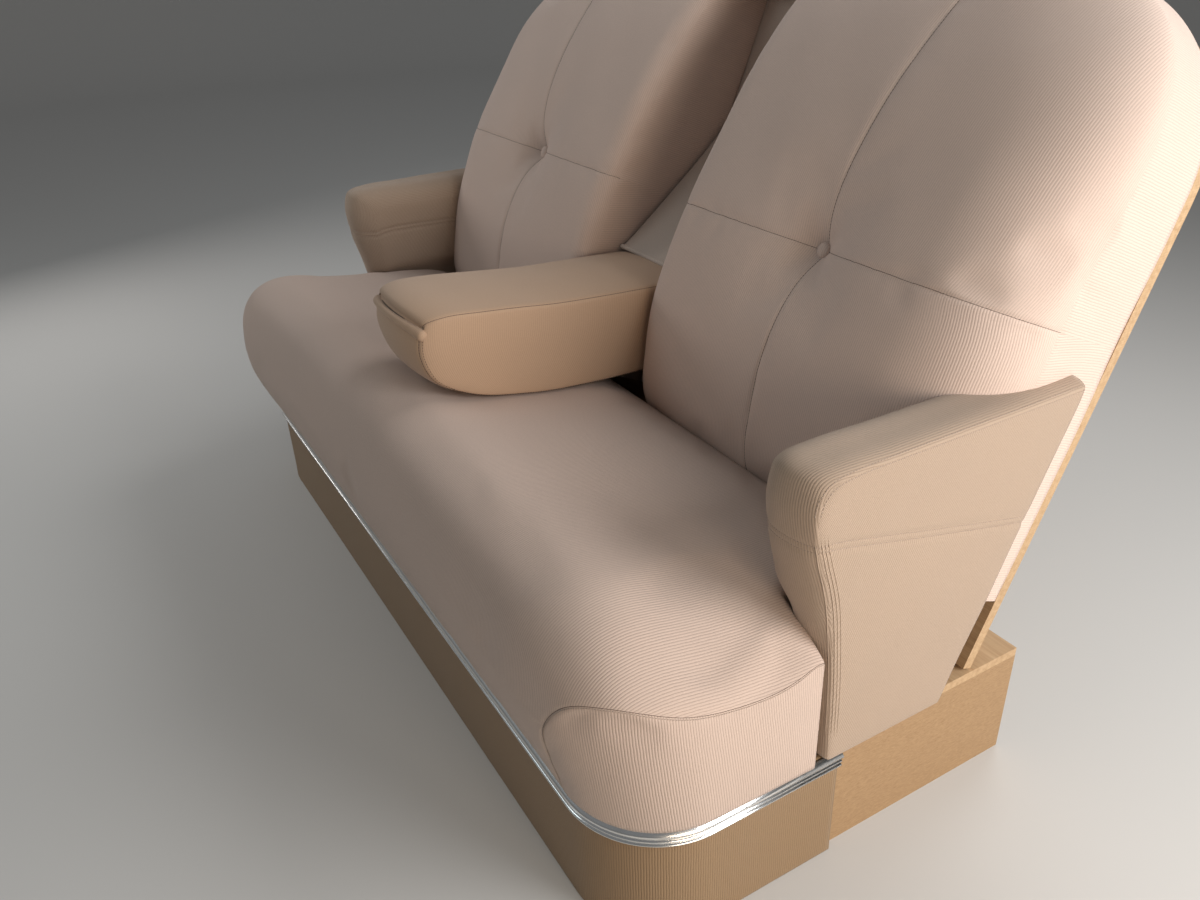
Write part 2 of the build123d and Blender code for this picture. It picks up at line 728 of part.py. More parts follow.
pad_rear_low = (armrest_rear_y, armrest_bottom_rear_z)
pad_chin = (armrest_nose_y + armrest_chin_reach, armrest_chin_z)
pad_nose = (armrest_nose_y, pull_lip_z - pull_lip_radius)
pad_crest = (armrest_nose_y + armrest_crest_reach, armrest_crest_z)
pad_rear_high = (armrest_rear_y, armrest_top_rear_z)
nose_side = (armrest_half_width, armrest_nose_y + armrest_nose_bow + armrest_nose_corner_depth)
nose_front = (armrest_half_width - armrest_nose_corner_width, armrest_nose_y + armrest_nose_bow)
pad_plan_corner = (armrest_half_width, armrest_rear_y)
with BuildPart() as armrest_pad:
    with BuildSketch(side_view.offset(-armrest_half_width)):
        with BuildLine():
            Line(pad_rear_high, pad_rear_low)
            ThreePointArc(pad_rear_low, between(pad_rear_low, pad_chin, 0.626, 0.213), pad_chin)
            ThreePointArc(pad_chin, between(pad_chin, pad_nose, 0.727, 0.484), pad_nose)
            ThreePointArc(pad_nose, between(pad_nose, pad_crest, 0.307, 0.667), pad_crest)
            ThreePointArc(pad_crest, between(pad_crest, pad_rear_high, 0.485, 0.5), pad_rear_high)
        make_face()
    extrude(amount=2 * armrest_half_width)
    with BuildSketch(Plane.XY):
        with BuildLine():
            Line((0, armrest_rear_y), pad_plan_corner)
            Line(pad_plan_corner, nose_side)
            ThreePointArc(nose_side, between(nose_side, nose_front, 0.26, 0.7), nose_front)
            ThreePointArc(
                nose_front, (nose_front[0] / 2, armrest_nose_y + armrest_nose_bow / 4), (0, armrest_nose_y),
            )
            Line((0, armrest_nose_y), (0, armrest_rear_y))
        make_face()
        mirror(about=Plane.YZ)
    extrude(amount=reach, mode=Mode.INTERSECT)
    add(armrest_pull_lip.part, mode=Mode.SUBTRACT)
    add(armrest_hinge_arms.part, mode=Mode.SUBTRACT)
armrest_pad.part.label = "armrest_pad"
export_step(armrest_pad.part, "parts/armrest_pad.step")



# Side armrests and the padded panels below them
def side_rear(z):
    """Point at height z on the leaning rear end of a side pad."""
    return back_origin[1] - (side_rear_depth - (z - back_origin[2]) * sin(lean)) / cos(lean), z


with BuildSketch(Plane.XY) as side_plan:
    with BuildLine():
        side_edge = FilletPolyline(
            (side_outer_x, base_rear_y), (side_outer_x, side_nose_y),
            (side_inner_x, side_nose_y), (side_inner_x, base_rear_y),
            radius=[side_outer_nose_radius, side_inner_nose_radius],
        )
        Line(side_edge @ 0, side_edge @ 1)
    make_face()

nose_foot = (side_nose_y + side_seam_reach, side_seam_z)
nose_brow = (side_nose_y + side_nose_bow, side_top_z - side_nose_drop)
nose_top = (side_nose_y + side_nose_length, side_top_z)
inner_top = (side_inner_x + side_shoulder_width, side_top_z)
inner_low = (side_inner_x + side_draft, side_top_z - side_shoulder_drop)
with BuildPart() as left_side_armrest:
    with BuildSketch(side_view.offset(side_inner_x)):
        with BuildLine():
            Line(side_rear(side_seam_z), nose_foot)
            ThreePointArc(nose_foot, (side_nose_y, (nose_foot[1] + nose_brow[1]) / 2), nose_brow)
            ThreePointArc(nose_brow, between(nose_brow, nose_top, 0.294, 0.62), nose_top)
            Polyline(nose_top, side_rear(side_top_z), side_rear(side_seam_z))
        make_face()
    extrude(amount=side_outer_x - side_inner_x)
    with BuildSketch(front_view):
        with BuildLine():
            Polyline(
                (side_outer_x, side_seam_z), (side_outer_x, side_top_z - side_edge_chamfer),
                (side_outer_x - side_edge_chamfer, side_top_z), inner_top,
            )
            ThreePointArc(inner_top, between(inner_top, inner_low, 0.75, 0.25), inner_low)
            Polyline(inner_low, (side_inner_x, side_seam_z), (side_outer_x, side_seam_z))
        make_face()
    extrude(amount=reach, both=True, mode=Mode.INTERSECT)
    extrude(side_plan.sketch, amount=reach, mode=Mode.INTERSECT)
    add(left_back_cushion.part, mode=Mode.SUBTRACT)
left_side_armrest.part.label = "left_side_armrest"
export_step(left_side_armrest.part, "parts/left_side_armrest.step")

with BuildPart() as right_side_armrest:
    mirror(left_side_armrest.part, about=Plane.YZ)
right_side_armrest.part.label = "right_side_armrest"
export_step(right_side_armrest.part, "parts/right_side_armrest.step")

side_knee = (side_knee_y, side_knee_z)
with BuildPart() as left_side_panel:
    with BuildSketch(side_view.offset(side_inner_x)):
        with BuildLine():
            Polyline(side_rear(seat_deck_top), (side_foot_y, seat_deck_top), side_knee)
            ThreePointArc(side_knee, between(side_knee, nose_foot, 0.5, 0.684), nose_foot)
            Polyline(nose_foot, side_rear(side_seam_z), side_rear(seat_deck_top))
        make_face()
    extrude(amount=side_outer_x - side_inner_x)
    with BuildSketch(front_view):
        with BuildLine():
            Polyline(
                (side_outer_x, seat_deck_top), (side_outer_x, side_seam_z), (side_inner_x, side_seam_z),
                (side_foot_inner_x, side_step_z), (side_foot_inner_x, seat_deck_top), close=True,
            )
        make_face()
    extrude(amount=reach, both=True, mode=Mode.INTERSECT)
    extrude(side_plan.sketch, amount=reach, mode=Mode.INTERSECT)
    add(left_back_cushion.part, mode=Mode.SUBTRACT)
left_side_panel.part.label = "left_side_panel"
export_step(left_side_panel.part, "parts/left_side_panel.step")

with BuildPart() as right_side_panel:
    mirror(left_side_panel.part, about=Plane.YZ)
right_side_panel.part.label = "right_side_panel"
export_step(right_side_panel.part, "parts/right_side_panel.step")
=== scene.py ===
import json
from math import ceil, cos, pi, radians, sin

import bmesh
import bpy
import numpy as np
from mathutils import Matrix, Vector
from mathutils.bvhtree import BVHTree


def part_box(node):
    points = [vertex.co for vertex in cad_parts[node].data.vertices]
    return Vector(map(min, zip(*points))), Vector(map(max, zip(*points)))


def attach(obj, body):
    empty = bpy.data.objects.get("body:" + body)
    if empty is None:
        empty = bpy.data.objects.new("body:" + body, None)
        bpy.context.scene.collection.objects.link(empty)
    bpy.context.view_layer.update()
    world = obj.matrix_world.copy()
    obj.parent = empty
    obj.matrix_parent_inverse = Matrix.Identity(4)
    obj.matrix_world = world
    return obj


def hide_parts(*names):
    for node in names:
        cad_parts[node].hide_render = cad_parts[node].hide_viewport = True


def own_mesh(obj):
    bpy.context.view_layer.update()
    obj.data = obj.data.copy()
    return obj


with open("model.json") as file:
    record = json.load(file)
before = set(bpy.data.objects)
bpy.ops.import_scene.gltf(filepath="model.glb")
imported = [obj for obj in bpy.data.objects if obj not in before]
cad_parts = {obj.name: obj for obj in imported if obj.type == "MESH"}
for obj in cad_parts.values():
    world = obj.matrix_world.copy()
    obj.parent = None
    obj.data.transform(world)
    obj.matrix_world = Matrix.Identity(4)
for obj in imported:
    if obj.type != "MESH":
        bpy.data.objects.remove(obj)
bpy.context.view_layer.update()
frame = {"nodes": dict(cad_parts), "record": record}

# Shapes are worked out in millimetres, in the frame of the CAD model, and made in metres
mm = 0.001
tiny = 1e-9


def frame_box(node):
    """Lowest and highest corner of a CAD node, in millimetres."""
    low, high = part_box(node)
    return np.array(low) / mm, np.array(high) / mm


# Sizes taken from the frame
cushion_low, cushion_high = frame_box("seat_cushion")
seat_half_width, deck_z = cushion_high[0], cushion_low[2]
riser_low, riser_high = frame_box("seat_riser")
riser_half_width, riser_front_y, riser_rear_y = riser_high[0], riser_low[1], riser_high[1]
moulding_low, moulding_high = frame_box("riser_moulding")
back_inner_x, back_outer_x = [corner[0] for corner in frame_box("left_back_cushion")]
side_outer_x = frame_box("left_side_armrest")[1][0]
recess_half_width = frame_box("recess_panel")[1][0]

# Leaning board of the backs, behind the armrest's hinge as in the CAD model
hinge_y, hinge_z, hinge_to_board = 212.0, 452.0, 93.0
back_lean = radians(23.0)
board_origin_y = hinge_y + hinge_to_board * cos(back_lean)
board_origin_z = hinge_z - hinge_to_board * sin(back_lean)
back_bottom = -165.0
back_top = 556.0


def on_back(x, up, out):
    """Point beside, up along and out from the leaning board, in the frame."""
    x, up, out = np.broadcast_arrays(x, up, out)
    return np.stack([
        x,
        board_origin_y + up * sin(back_lean) - out * cos(back_lean),
        board_origin_z + up * cos(back_lean) + out * sin(back_lean),
    ], axis=-1).astype(float)


# Camera: place and angles solved from the seat's straight edges
photo_width = 1200
camera_place = Vector((1.297, -0.654, 1.020))
camera_azimuth = radians(60.59)
camera_elevation = radians(29.29)
camera_roll = radians(-2.42)
focal_pixels = 991.5
sensor_width = 36.0
centre_drop = 15.0


def make_camera():
    """Camera that looks through the open door at the seat, from its left end."""
    forward = Vector((
        -sin(camera_azimuth) * cos(camera_elevation),
        cos(camera_azimuth) * cos(camera_elevation),
        -sin(camera_elevation),
    ))
    level = Vector((cos(camera_azimuth), sin(camera_azimuth), 0.0))
    up = level.cross(forward)
    right = cos(camera_roll) * level + sin(camera_roll) * up
    top = -sin(camera_roll) * level + cos(camera_roll) * up
    data = bpy.data.cameras.new("camera")
    data.sensor_width = sensor_width
    data.lens = focal_pixels / photo_width * sensor_width
    data.shift_y = centre_drop / photo_width
    data.clip_start = 0.02
    camera = bpy.data.objects.new("camera", data)
    turn = Matrix((right, top, -forward)).transposed().to_4x4()
    camera.matrix_world = Matrix.Translation(camera_place) @ turn
    bpy.context.scene.collection.objects.link(camera)
    bpy.context.scene.camera = camera


make_camera()


# Curves and grids
def unit(vectors):
    """Vectors brought to a length of one."""
    return vectors / np.maximum(np.linalg.norm(vectors, axis=-1, keepdims=True), tiny)


def ramp(distance, width):
    """Share from 0 to 1 of a distance in a width."""
    return np.clip(distance / width, 0, 1)


def lengths_along(points):
    """Distance run at each point of a polyline."""
    steps = np.linalg.norm(np.diff(points, axis=0), axis=1)
    return np.concatenate([[0.0], np.cumsum(steps)])


def run_shares(points):
    """Share of a polyline's length at each of its points."""
    run = lengths_along(points)
    return run / run[-1]


def smooth_curve(points, dense=400):
    """Dense natural cubic spline through points of any dimension."""
    points = np.asarray(points, float)
    knots = lengths_along(points)
    count = len(knots)
    gaps = np.diff(knots)
    slopes = np.diff(points, axis=0) / gaps[:, None]
    matrix = np.eye(count)
    right = np.zeros_like(points)
    for i in range(1, count - 1):
        matrix[i, i - 1:i + 2] = gaps[i - 1], 2 * (gaps[i - 1] + gaps[i]), gaps[i]
        right[i] = 3 * (slopes[i] - slopes[i - 1])
    second = np.linalg.solve(matrix, right)
    place = np.linspace(0, knots[-1], dense)
    span = np.clip(np.searchsorted(knots, place, side="right") - 1, 0, count - 2)
    step = (place - knots[span])[:, None]
    gap = gaps[span][:, None]
    slope = slopes[span] - gap * (2 * second[span] + second[span + 1]) / 3
    cubic = (second[span + 1] - second[span]) / (3 * gap)
    return points[span] + slope * step + second[span] * step ** 2 + cubic * step ** 3


def at_shares(curve, shares):
    """Points of a dense polyline at the given shares of its length."""
    run = lengths_along(curve)
    return np.column_stack([np.interp(shares * run[-1], run, column) for column in curve.T])


def evenly(line, step):
    """Points at about equal steps along a polyline."""
    count = max(2, round(lengths_along(line)[-1] / step) + 1)
    return at_shares(line, np.linspace(0, 1, count))


def share_of(curve, point):
    """Share of a dense polyline's length at its point nearest to the given one."""
    nearest = np.argmin(np.linalg.norm(curve - point, axis=1))
    return run_shares(curve)[nearest]


seam_steps = np.array([2.5, 3.0, 4.0, 5.5])


def graded(length, step, at_start=True, at_end=True):
    """Shares from 0 to 1 along a length, closer together beside an end that is sewn."""
    start = list(np.cumsum(seam_steps)) if at_start else []
    end = list(length - np.cumsum(seam_steps))[::-1] if at_end else []
    low = start[-1] if start else 0.0
    high = end[0] if end else length
    middle = list(np.linspace(low, high, max(1, ceil((high - low) / step)) + 1))
    places = ([0.0] if start else []) + start[:-1] + middle + end[1:] + ([length] if end else [])
    return np.array(places) / length


def graded_parts(breaks, sewn, length, steps):
    """Shares along a length that is spaced part by part, between breaks that may be sewn.

    Gives the spacing of each part too.
    """
    spans = list(zip(breaks, np.diff(breaks)))
    parts = [
        graded(size * length, step, *ends)
        for (_, size), step, ends in zip(spans, steps, zip(sewn, sewn[1:]))
    ]
    places = [first + size * part[1:] for (first, size), part in zip(spans, parts)]
    return np.concatenate([[0.0]] + places), parts


def coons(low, high, left, right):
    """Grid of points between four edges: low and high run across it, left and right up it."""
    s = ((run_shares(low) + run_shares(high)) / 2)[None, :, None]
    t = ((run_shares(left) + run_shares(right)) / 2)[:, None, None]
    ruled = (1 - t) * low[None] + t * high[None] + (1 - s) * left[:, None] + s * right[:, None]
    corners = (1 - t) * ((1 - s) * low[0] + s * low[-1]) + t * ((1 - s) * high[0] + s * high[-1])
    return ruled - corners


def grid_runs(grid):
    """Distance run across and along a grid at each of its points."""
    across = np.cumsum(np.linalg.norm(np.diff(grid, axis=1, prepend=grid[:, :1]), axis=2), axis=1)
    along = np.cumsum(np.linalg.norm(np.diff(grid, axis=0, prepend=grid[:1]), axis=2), axis=0)
    return across, along


def swell_of(grid, height, sharpness):
    """Hill over a grid, from 0 at its edges: steeper there for a low sharpness."""
    across, along = grid_runs(grid)
    across = across / np.maximum(across[:, -1:], tiny)
    along = along / np.maximum(along[-1:], tiny)
    hill = 4 * across * (1 - across) * 4 * along * (1 - along)
    return height * np.maximum(hill, 0) ** sharpness


def grid_normals(grid):
    """Unit normals of a grid, from its rows and columns."""
    return unit(np.cross(np.gradient(grid, axis=1), np.gradient(grid, axis=0)))


def normals_beside(line):
    """Unit normals of a flat line, to its right."""
    ahead = np.gradient(line, axis=0)
    return unit(np.column_stack([ahead[:, 1], -ahead[:, 0]]))


def wall_between(edge, foot, levels):
    """Grid of straight lines from an edge to its foot, with points at the given levels."""
    levels = levels[:, None, None]
    return (1 - levels) * edge[None] + levels * foot[None]


def roll_drop(distance, radius):
    """Share of a rolled edge's full drop, 1 at the edge and 0 from a radius away."""
    return 1 - np.sqrt(1 - (1 - ramp(distance, radius)) ** 2)


# Covers
def side_name(side):
    """Name of a side: 1 is the left and -1 the right."""
    return "left" if side > 0 else "right"


def edit_mesh(mesh, change):
    """Changes a mesh by a function, and turns its faces outward."""
    edit = bmesh.new()
    edit.from_mesh(mesh)
    change(edit)
    bmesh.ops.recalc_face_normals(edit, faces=edit.faces)
    edit.to_mesh(mesh)
    edit.free()


class Cover:
    """Panels of cloth, sewn at the points that they share, gathered for one mesh."""

    def __init__(self):
        self.points = []
        self.faces = []
        self.cloth = []
        self.total = 0

    def panel(self, grid, turned=False, start=0):
        """Adds a grid of points. Its ribs run along the grid, or across it if turned."""
        rows, columns = grid.shape[:2]
        across, along = grid_runs(grid)
        across -= across[:, [start]]
        places = (along, across) if turned else (across, along)
        index = self.total + np.arange(rows * columns).reshape(rows, columns)
        corners = np.stack([index[:-1, :-1], index[:-1, 1:], index[1:, 1:], index[1:, :-1]], axis=-1)
        self.faces += corners.reshape(-1, 4).tolist()
        self.cloth.append(np.stack(places, axis=-1).reshape(-1, 2))
        self.points.append(grid.reshape(-1, 3))
        self.total += rows * columns

    def build(self, name, material, weld=0.05):
        """One mesh object of all panels, with their shared points welded."""
        points = np.concatenate(self.points)
        cloth = np.concatenate(self.cloth)
        mesh = bpy.data.meshes.new(name)
        mesh.from_pydata((points * mm).tolist(), [], self.faces)
        layer = mesh.uv_layers.new(name="cloth")
        corner_points = np.empty(len(mesh.loops), dtype=np.int32)
        mesh.loops.foreach_get("vertex_index", corner_points)
        layer.data.foreach_set("uv", (cloth[corner_points] * mm).ravel())

        def sew(edit):
            bmesh.ops.remove_doubles(edit, verts=edit.verts, dist=weld * mm)
            thin = [face for face in edit.faces if face.calc_area() < 1e-12]
            bmesh.ops.delete(edit, geom=thin, context="FACES")

        edit_mesh(mesh, sew)
        for face in mesh.polygons:
            face.use_smooth = True
        piece = bpy.data.objects.new(name, mesh)
        bpy.context.scene.collection.objects.link(piece)
        mesh.materials.append(material)
        return piece


def point_vectors(piece, key):
    """A vector of each point of a piece's mesh."""
    vectors = np.empty(len(piece.data.vertices) * 3)
    piece.data.vertices.foreach_get(key, vectors)
    return vectors.reshape(-1, 3)


def mesh_points(piece):
    """Points of a piece's mesh, in millimetres."""
    return point_vectors(piece, "co") / mm


def set_points(piece, points):
    """Moves the points of a piece's mesh to new places, in millimetres."""
    piece.data.vertices.foreach_set("co", (points * mm).ravel())
    piece.data.update()


def push_points(piece, out):
    """Moves each point of a piece out along its normal, by its own distance."""
    set_points(piece, mesh_points(piece) + point_vectors(piece, "normal") * out[:, None])


def distance_to(points, curve):
    """Distance from each point to the nearest point of a dense polyline."""
    samples = at_shares(curve, np.linspace(0, 1, int(lengths_along(curve)[-1]) + 2))
    nearest = np.full(len(points), np.inf)
    for part in np.array_split(samples, ceil(len(samples) / 64)):
        gap = np.linalg.norm(points[:, None] - part[None], axis=2).min(axis=1)
        nearest = np.minimum(nearest, gap)
    return nearest


def sink_seam(piece, curve, depth, width):
    """Draws the cloth in along a seam."""
    gap = distance_to(mesh_points(piece), curve)
    push_points(piece, -depth * np.exp(-(gap / width) ** 2))


# Directions of the waves of uneven stuffing, and their lengths as shares of the spacing
stuffing_waves = [
    ((0.9, 0.2, 0.4), 1.0), ((-0.5, 0.6, 0.7), 1.3), ((0.3, -0.8, 0.5), 0.8), ((0.1, 0.4, -0.9), 1.7),
]


def uneven(piece, height, spacing, phase):
    """Moves a cover in and out a little, in broad soft waves, but for the points at the deck."""
    points = mesh_points(piece)
    waves = sum(
        np.sin(points @ (np.array(direction) * 2 * pi / (spacing * stretch)) + phase * (number + 1.3))
        for number, (direction, stretch) in enumerate(stuffing_waves)
    ) / len(stuffing_waves)
    push_points(piece, height * waves * (points[:, 2] >= deck_z + 5))


puff_frames = 20
puff_limit = 3.0
cloth_stiffness = 25.0


def puff(piece, held, pressure, spare):
    """Blows the cover up as a stuffed cloth, with some points held, and keeps the result.

    The cover has a little spare cloth, and no point moves further than the limit.
    """
    scene = bpy.context.scene
    before = mesh_points(piece)
    group = piece.vertex_groups.new(name="held")
    group.add([int(i) for i in np.flatnonzero(held)], 1.0, "REPLACE")
    modifier = piece.modifiers.new("cloth", "CLOTH")
    settings = modifier.settings
    settings.quality = 6
    settings.mass = 0.3
    settings.tension_stiffness = cloth_stiffness
    settings.compression_stiffness = cloth_stiffness
    settings.shear_stiffness = cloth_stiffness / 3
    settings.bending_stiffness = 6.0
    settings.use_pressure = True
    settings.uniform_pressure_force = pressure
    settings.shrink_min = -spare
    settings.vertex_group_mass = "held"
    settings.effector_weights.gravity = 0.0
    modifier.point_cache.frame_start = 1
    modifier.point_cache.frame_end = puff_frames
    for number in range(1, puff_frames + 1):
        scene.frame_set(number)
    move = mesh_points(piece.evaluated_get(bpy.context.evaluated_depsgraph_get())) - before
    size = np.linalg.norm(move, axis=1, keepdims=True)
    move *= puff_limit * np.tanh(size / puff_limit) / np.maximum(size, tiny)
    piece.modifiers.remove(modifier)
    piece.vertex_groups.remove(group)
    scene.frame_set(1)
    set_points(piece, before + move)


def surface_of(piece):
    """Search tree of a piece's surface."""
    corners = [vertex.co for vertex in piece.data.vertices]
    return BVHTree.FromPolygons(corners, [list(face.vertices) for face in piece.data.polygons])


def laid(tree, line, lift):
    """A line moved to the nearest places of a surface, with the way out of it at each point."""
    places, ways = [], []
    for point in line:
        place, normal, _, _ = tree.find_nearest(Vector(point * mm))
        places.append(np.array(place) / mm + lift * np.array(normal))
        ways.append(normal)
    return np.array(places), np.array(ways)


def close_holes(mesh):
    """Fills the open sides of a mesh, which lie on hidden or flat faces."""
    edit_mesh(mesh, lambda edit: bmesh.ops.holes_fill(
        edit, edges=[edge for edge in edit.edges if edge.is_boundary], sides=0,
    ))


def subdivide(piece, closed=True):
    """Halves the mesh's steps on a smooth surface for good, then closes it on its hidden side."""
    modifier = piece.modifiers.new("smooth", "SUBSURF")
    modifier.levels = 1
    modifier.uv_smooth = "PRESERVE_BOUNDARIES"
    shaped = piece.evaluated_get(bpy.context.evaluated_depsgraph_get())
    mesh = bpy.data.meshes.new_from_object(shaped)
    piece.modifiers.remove(modifier)
    piece.data = mesh
    if closed:
        close_holes(mesh)


def ride(piece, body, *nodes, slot, fill=None):
    """Puts a piece on its body, in the place of CAD nodes."""
    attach(piece, body)
    if nodes:
        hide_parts(*nodes)


# Finishes
def tint(colour, gain, add=0.0):
    """Colour made lighter or darker."""
    return tuple(min(1.0, gain * channel + add) for channel in colour)


class Finish:
    """A node material, put together by short calls. Most of them give back an output socket."""

    def __init__(self, name, roughness=0.5, metallic=0.0):
        self.material = bpy.data.materials.new(name)
        self.material.use_nodes = True
        self.nodes = self.material.node_tree.nodes
        self.links = self.material.node_tree.links
        self.shader = self.nodes["Principled BSDF"]
        self.set("Roughness", roughness)
        self.set("Metallic", metallic)

    def set(self, socket, value):
        """Sets or links an input of the shader."""
        self.give(self.shader.inputs[socket], value)

    def give(self, socket, value):
        """Sets an input to a number, a vector or an opaque colour, or links an output to it."""
        if hasattr(value, "is_output"):
            self.links.new(value, socket)
        elif socket.type == "RGBA":
            socket.default_value = (*value, 1.0)
        else:
            socket.default_value = value

    def add(self, kind, values):
        """New node of a kind, with its inputs given by name or number."""
        node = self.nodes.new("ShaderNode" + kind)
        for socket, value in values.items():
            self.give(node.inputs[socket], value)
        return node

    def math(self, operation, *values):
        """Result of a sum on numbers or outputs."""
        node = self.add("Math", dict(enumerate(values)))
        node.operation = operation
        return node.outputs[0]

    def times(self, first, second):
        """Product of two values."""
        return self.math("MULTIPLY", first, second)

    def wave(self, value, factor):
        """Sine of a value times a factor."""
        return self.math("SINE", self.times(value, factor))

    def parts(self, vector):
        """The three parts of a vector."""
        return self.add("SeparateXYZ", {0: vector}).outputs

    def cloth_place(self):
        """Place on the cloth in metres, and its parts across and along the ribs."""
        node = self.nodes.new("ShaderNodeUVMap")
        node.uv_map = "cloth"
        across, along, _ = self.parts(node.outputs[0])
        return node.outputs[0], across, along

    def place(self, scale=(1, 1, 1)):
        """Object coordinates, stretched by a scale each way."""
        source = self.nodes.new("ShaderNodeTexCoord")
        return self.add("Mapping", {"Vector": source.outputs["Object"], "Scale": scale}).outputs[0]

    def noise(self, vector, scale, detail=2.0, roughness=0.5):
        """Cloudy values round 0.5."""
        values = {"Vector": vector, "Scale": scale, "Detail": detail, "Roughness": roughness}
        return self.add("TexNoise", values).outputs[0]

    def between(self, value, low, high, new_low=0.0, new_high=1.0):
        """Value from one range mapped and clamped to another."""
        return self.add("MapRange", {
            "Value": value, "From Min": low, "From Max": high, "To Min": new_low, "To Max": new_high,
        }).outputs[0]

    def mix(self, share, first, second):
        """Two colours, mixed by the share of the second."""
        node = self.nodes.new("ShaderNodeMix")
        node.data_type = "RGBA"
        for number, value in ((0, share), (6, first), (7, second)):
            self.give(node.inputs[number], value)
        return node.outputs[2]

    def bump(self, height, distance, strength):
        """Turns the shader's normal by a height."""
        node = self.add("Bump", {"Strength": strength, "Distance": distance, "Height": height})
        self.set("Normal", node.outputs[0])

    def wool(self, sheen):
        """Gives the shader the soft sheen and weak gloss of wool."""
        self.set("Sheen Weight", sheen)
        self.set("Sheen Roughness", 0.5)
        self.set("Specular IOR Level", 0.2)


rib_pitch = 0.0031
yarn_pitch = 0.0011
ply_layer = 0.003


def cord_finish(name, colour, groove_shade, rib_depth):
    """Wool cord cloth: fine round ribs of twisted yarn, with a slightly uneven colour and painted shade in
    the grooves between the ribs.
    """
    finish = Finish(name, roughness=0.92)
    place, across, along = finish.cloth_place()
    drift = finish.times(finish.math("SUBTRACT", finish.noise(place, 55), 0.5), 0.0012)
    turn = finish.math("DIVIDE", finish.math("ADD", across, drift), rib_pitch)
    rib = finish.math("POWER", finish.math("ABSOLUTE", finish.wave(turn, pi)), 0.7)
    twist = finish.math("ADD", finish.math("DIVIDE", along, yarn_pitch), finish.times(turn, 0.5))
    height = finish.math("MULTIPLY_ADD", finish.wave(twist, 2 * pi), 0.07, rib)
    height = finish.math("MULTIPLY_ADD", finish.noise(place, 1500, 2, 0.6), 0.35, height)
    # Painted shade: the grooves between the ribs take the darker colour.
    shade = finish.mix(finish.between(rib, 0.1, 0.75), groove_shade, colour)
    patches = finish.between(finish.noise(place, 7, 3, 0.6), 0.35, 0.7)
    shade = finish.mix(finish.times(patches, 0.3), shade, tint(colour, 0.80, 0.03))
    streaks = finish.between(finish.noise(place, 420, 3, 0.7), 0.35, 0.75)
    shade = finish.mix(finish.times(streaks, 0.35), shade, tint(colour, 1.16))
    finish.set("Base Color", shade)
    finish.bump(height, rib_depth, 0.8)
    finish.set("Sheen Tint", (0.95, 0.88, 0.84))
    finish.wool(0.22)
    return finish.material


def plain_cloth_finish(name, colour):
    """Flat woven wool cloth, with no ribs."""
    finish = Finish(name, roughness=0.95)
    place, across, along = finish.cloth_place()
    warp, weft = [finish.wave(way, 2 * pi / yarn_pitch) for way in (across, along)]
    fuzz = finish.noise(place, 900, 3, 0.6)
    finish.set("Base Color", finish.mix(finish.between(fuzz, 0.3, 0.75), tint(colour, 0.72), colour))
    finish.bump(finish.math("MULTIPLY_ADD", finish.times(warp, weft), 0.3, fuzz), 0.0003, 0.7)
    finish.wool(0.2)
    return finish.material


def thread_finish(name, colour):
    """Twisted sewing thread."""
    finish = Finish(name, roughness=0.8)
    fibres = finish.noise(finish.place(), 2600, 2, 0.6)
    finish.set("Base Color", finish.mix(fibres, tint(colour, 0.6), colour))
    finish.bump(fibres, 0.0001, 0.5)
    finish.set("Specular IOR Level", 0.2)
    return finish.material


def chrome_finish(name):
    """Polished bright strip with a little haze."""
    finish = Finish(name, metallic=1.0)
    haze = finish.noise(finish.place(), 14, 4, 0.6)
    dull = finish.between(haze, 0.5, 0.85)
    finish.set("Base Color", finish.mix(dull, (0.90, 0.90, 0.89), (0.70, 0.68, 0.64)))
    finish.set("Roughness", finish.between(haze, 0.3, 0.8, 0.12, 0.30))
    return finish.material


def wood_finish(name):
    """Sawn hardwood: long grain, soft bands and small pores."""
    finish = Finish(name)
    grain_place = finish.place((1.5, 1.5, 12))
    bands = finish.math("FRACT", finish.times(finish.noise(grain_place, 14, 4, 0.55), 7))
    bands = finish.math("ABSOLUTE", finish.math("SUBTRACT", bands, 0.5))
    pores = finish.noise(grain_place, 126, 3, 0.7)
    share = finish.between(pores, 0.35, 0.7)
    share = finish.math("MULTIPLY_ADD", share, 0.5, finish.times(bands, 0.5))
    finish.set("Base Color", finish.mix(share, (0.42, 0.27, 0.14), (0.22, 0.12, 0.055)))
    finish.set("Roughness", finish.between(pores, 0.2, 0.8, 0.5, 0.8))
    finish.bump(pores, 0.0004, 0.35)
    return finish.material


def ply_finish(name):
    """Plywood: quiet face grain, and thin layers that show at the edges."""
    finish = Finish(name, roughness=0.66)
    grain = finish.noise(finish.place((1.2, 14, 14)), 11, 4, 0.6)
    layer = finish.wave(finish.parts(finish.place())[2], 2 * pi / ply_layer)
    shade = finish.mix(finish.between(grain, 0.3, 0.75), (0.55, 0.38, 0.22), (0.40, 0.25, 0.13))
    shade = finish.mix(finish.between(layer, 0.7, 1.0, 0.0, 0.25), shade, (0.30, 0.18, 0.09))
    finish.set("Base Color", shade)
    finish.bump(grain, 0.0003, 0.4)
    return finish.material


def black_steel_finish(name):
    """Black paint, thin and a little rusty where it has chipped."""
    finish = Finish(name)
    place = finish.place()
    chips = finish.between(finish.noise(place, 130, 5, 0.7), 0.66, 0.72)
    finish.set("Base Color", finish.mix(chips, (0.018, 0.018, 0.019), (0.16, 0.085, 0.05)))
    finish.set("Roughness", finish.between(finish.noise(place, 40, 3), 0.3, 0.7, 0.35, 0.6))
    finish.bump(finish.noise(place, 700), 0.0001, 0.5)
    return finish.material


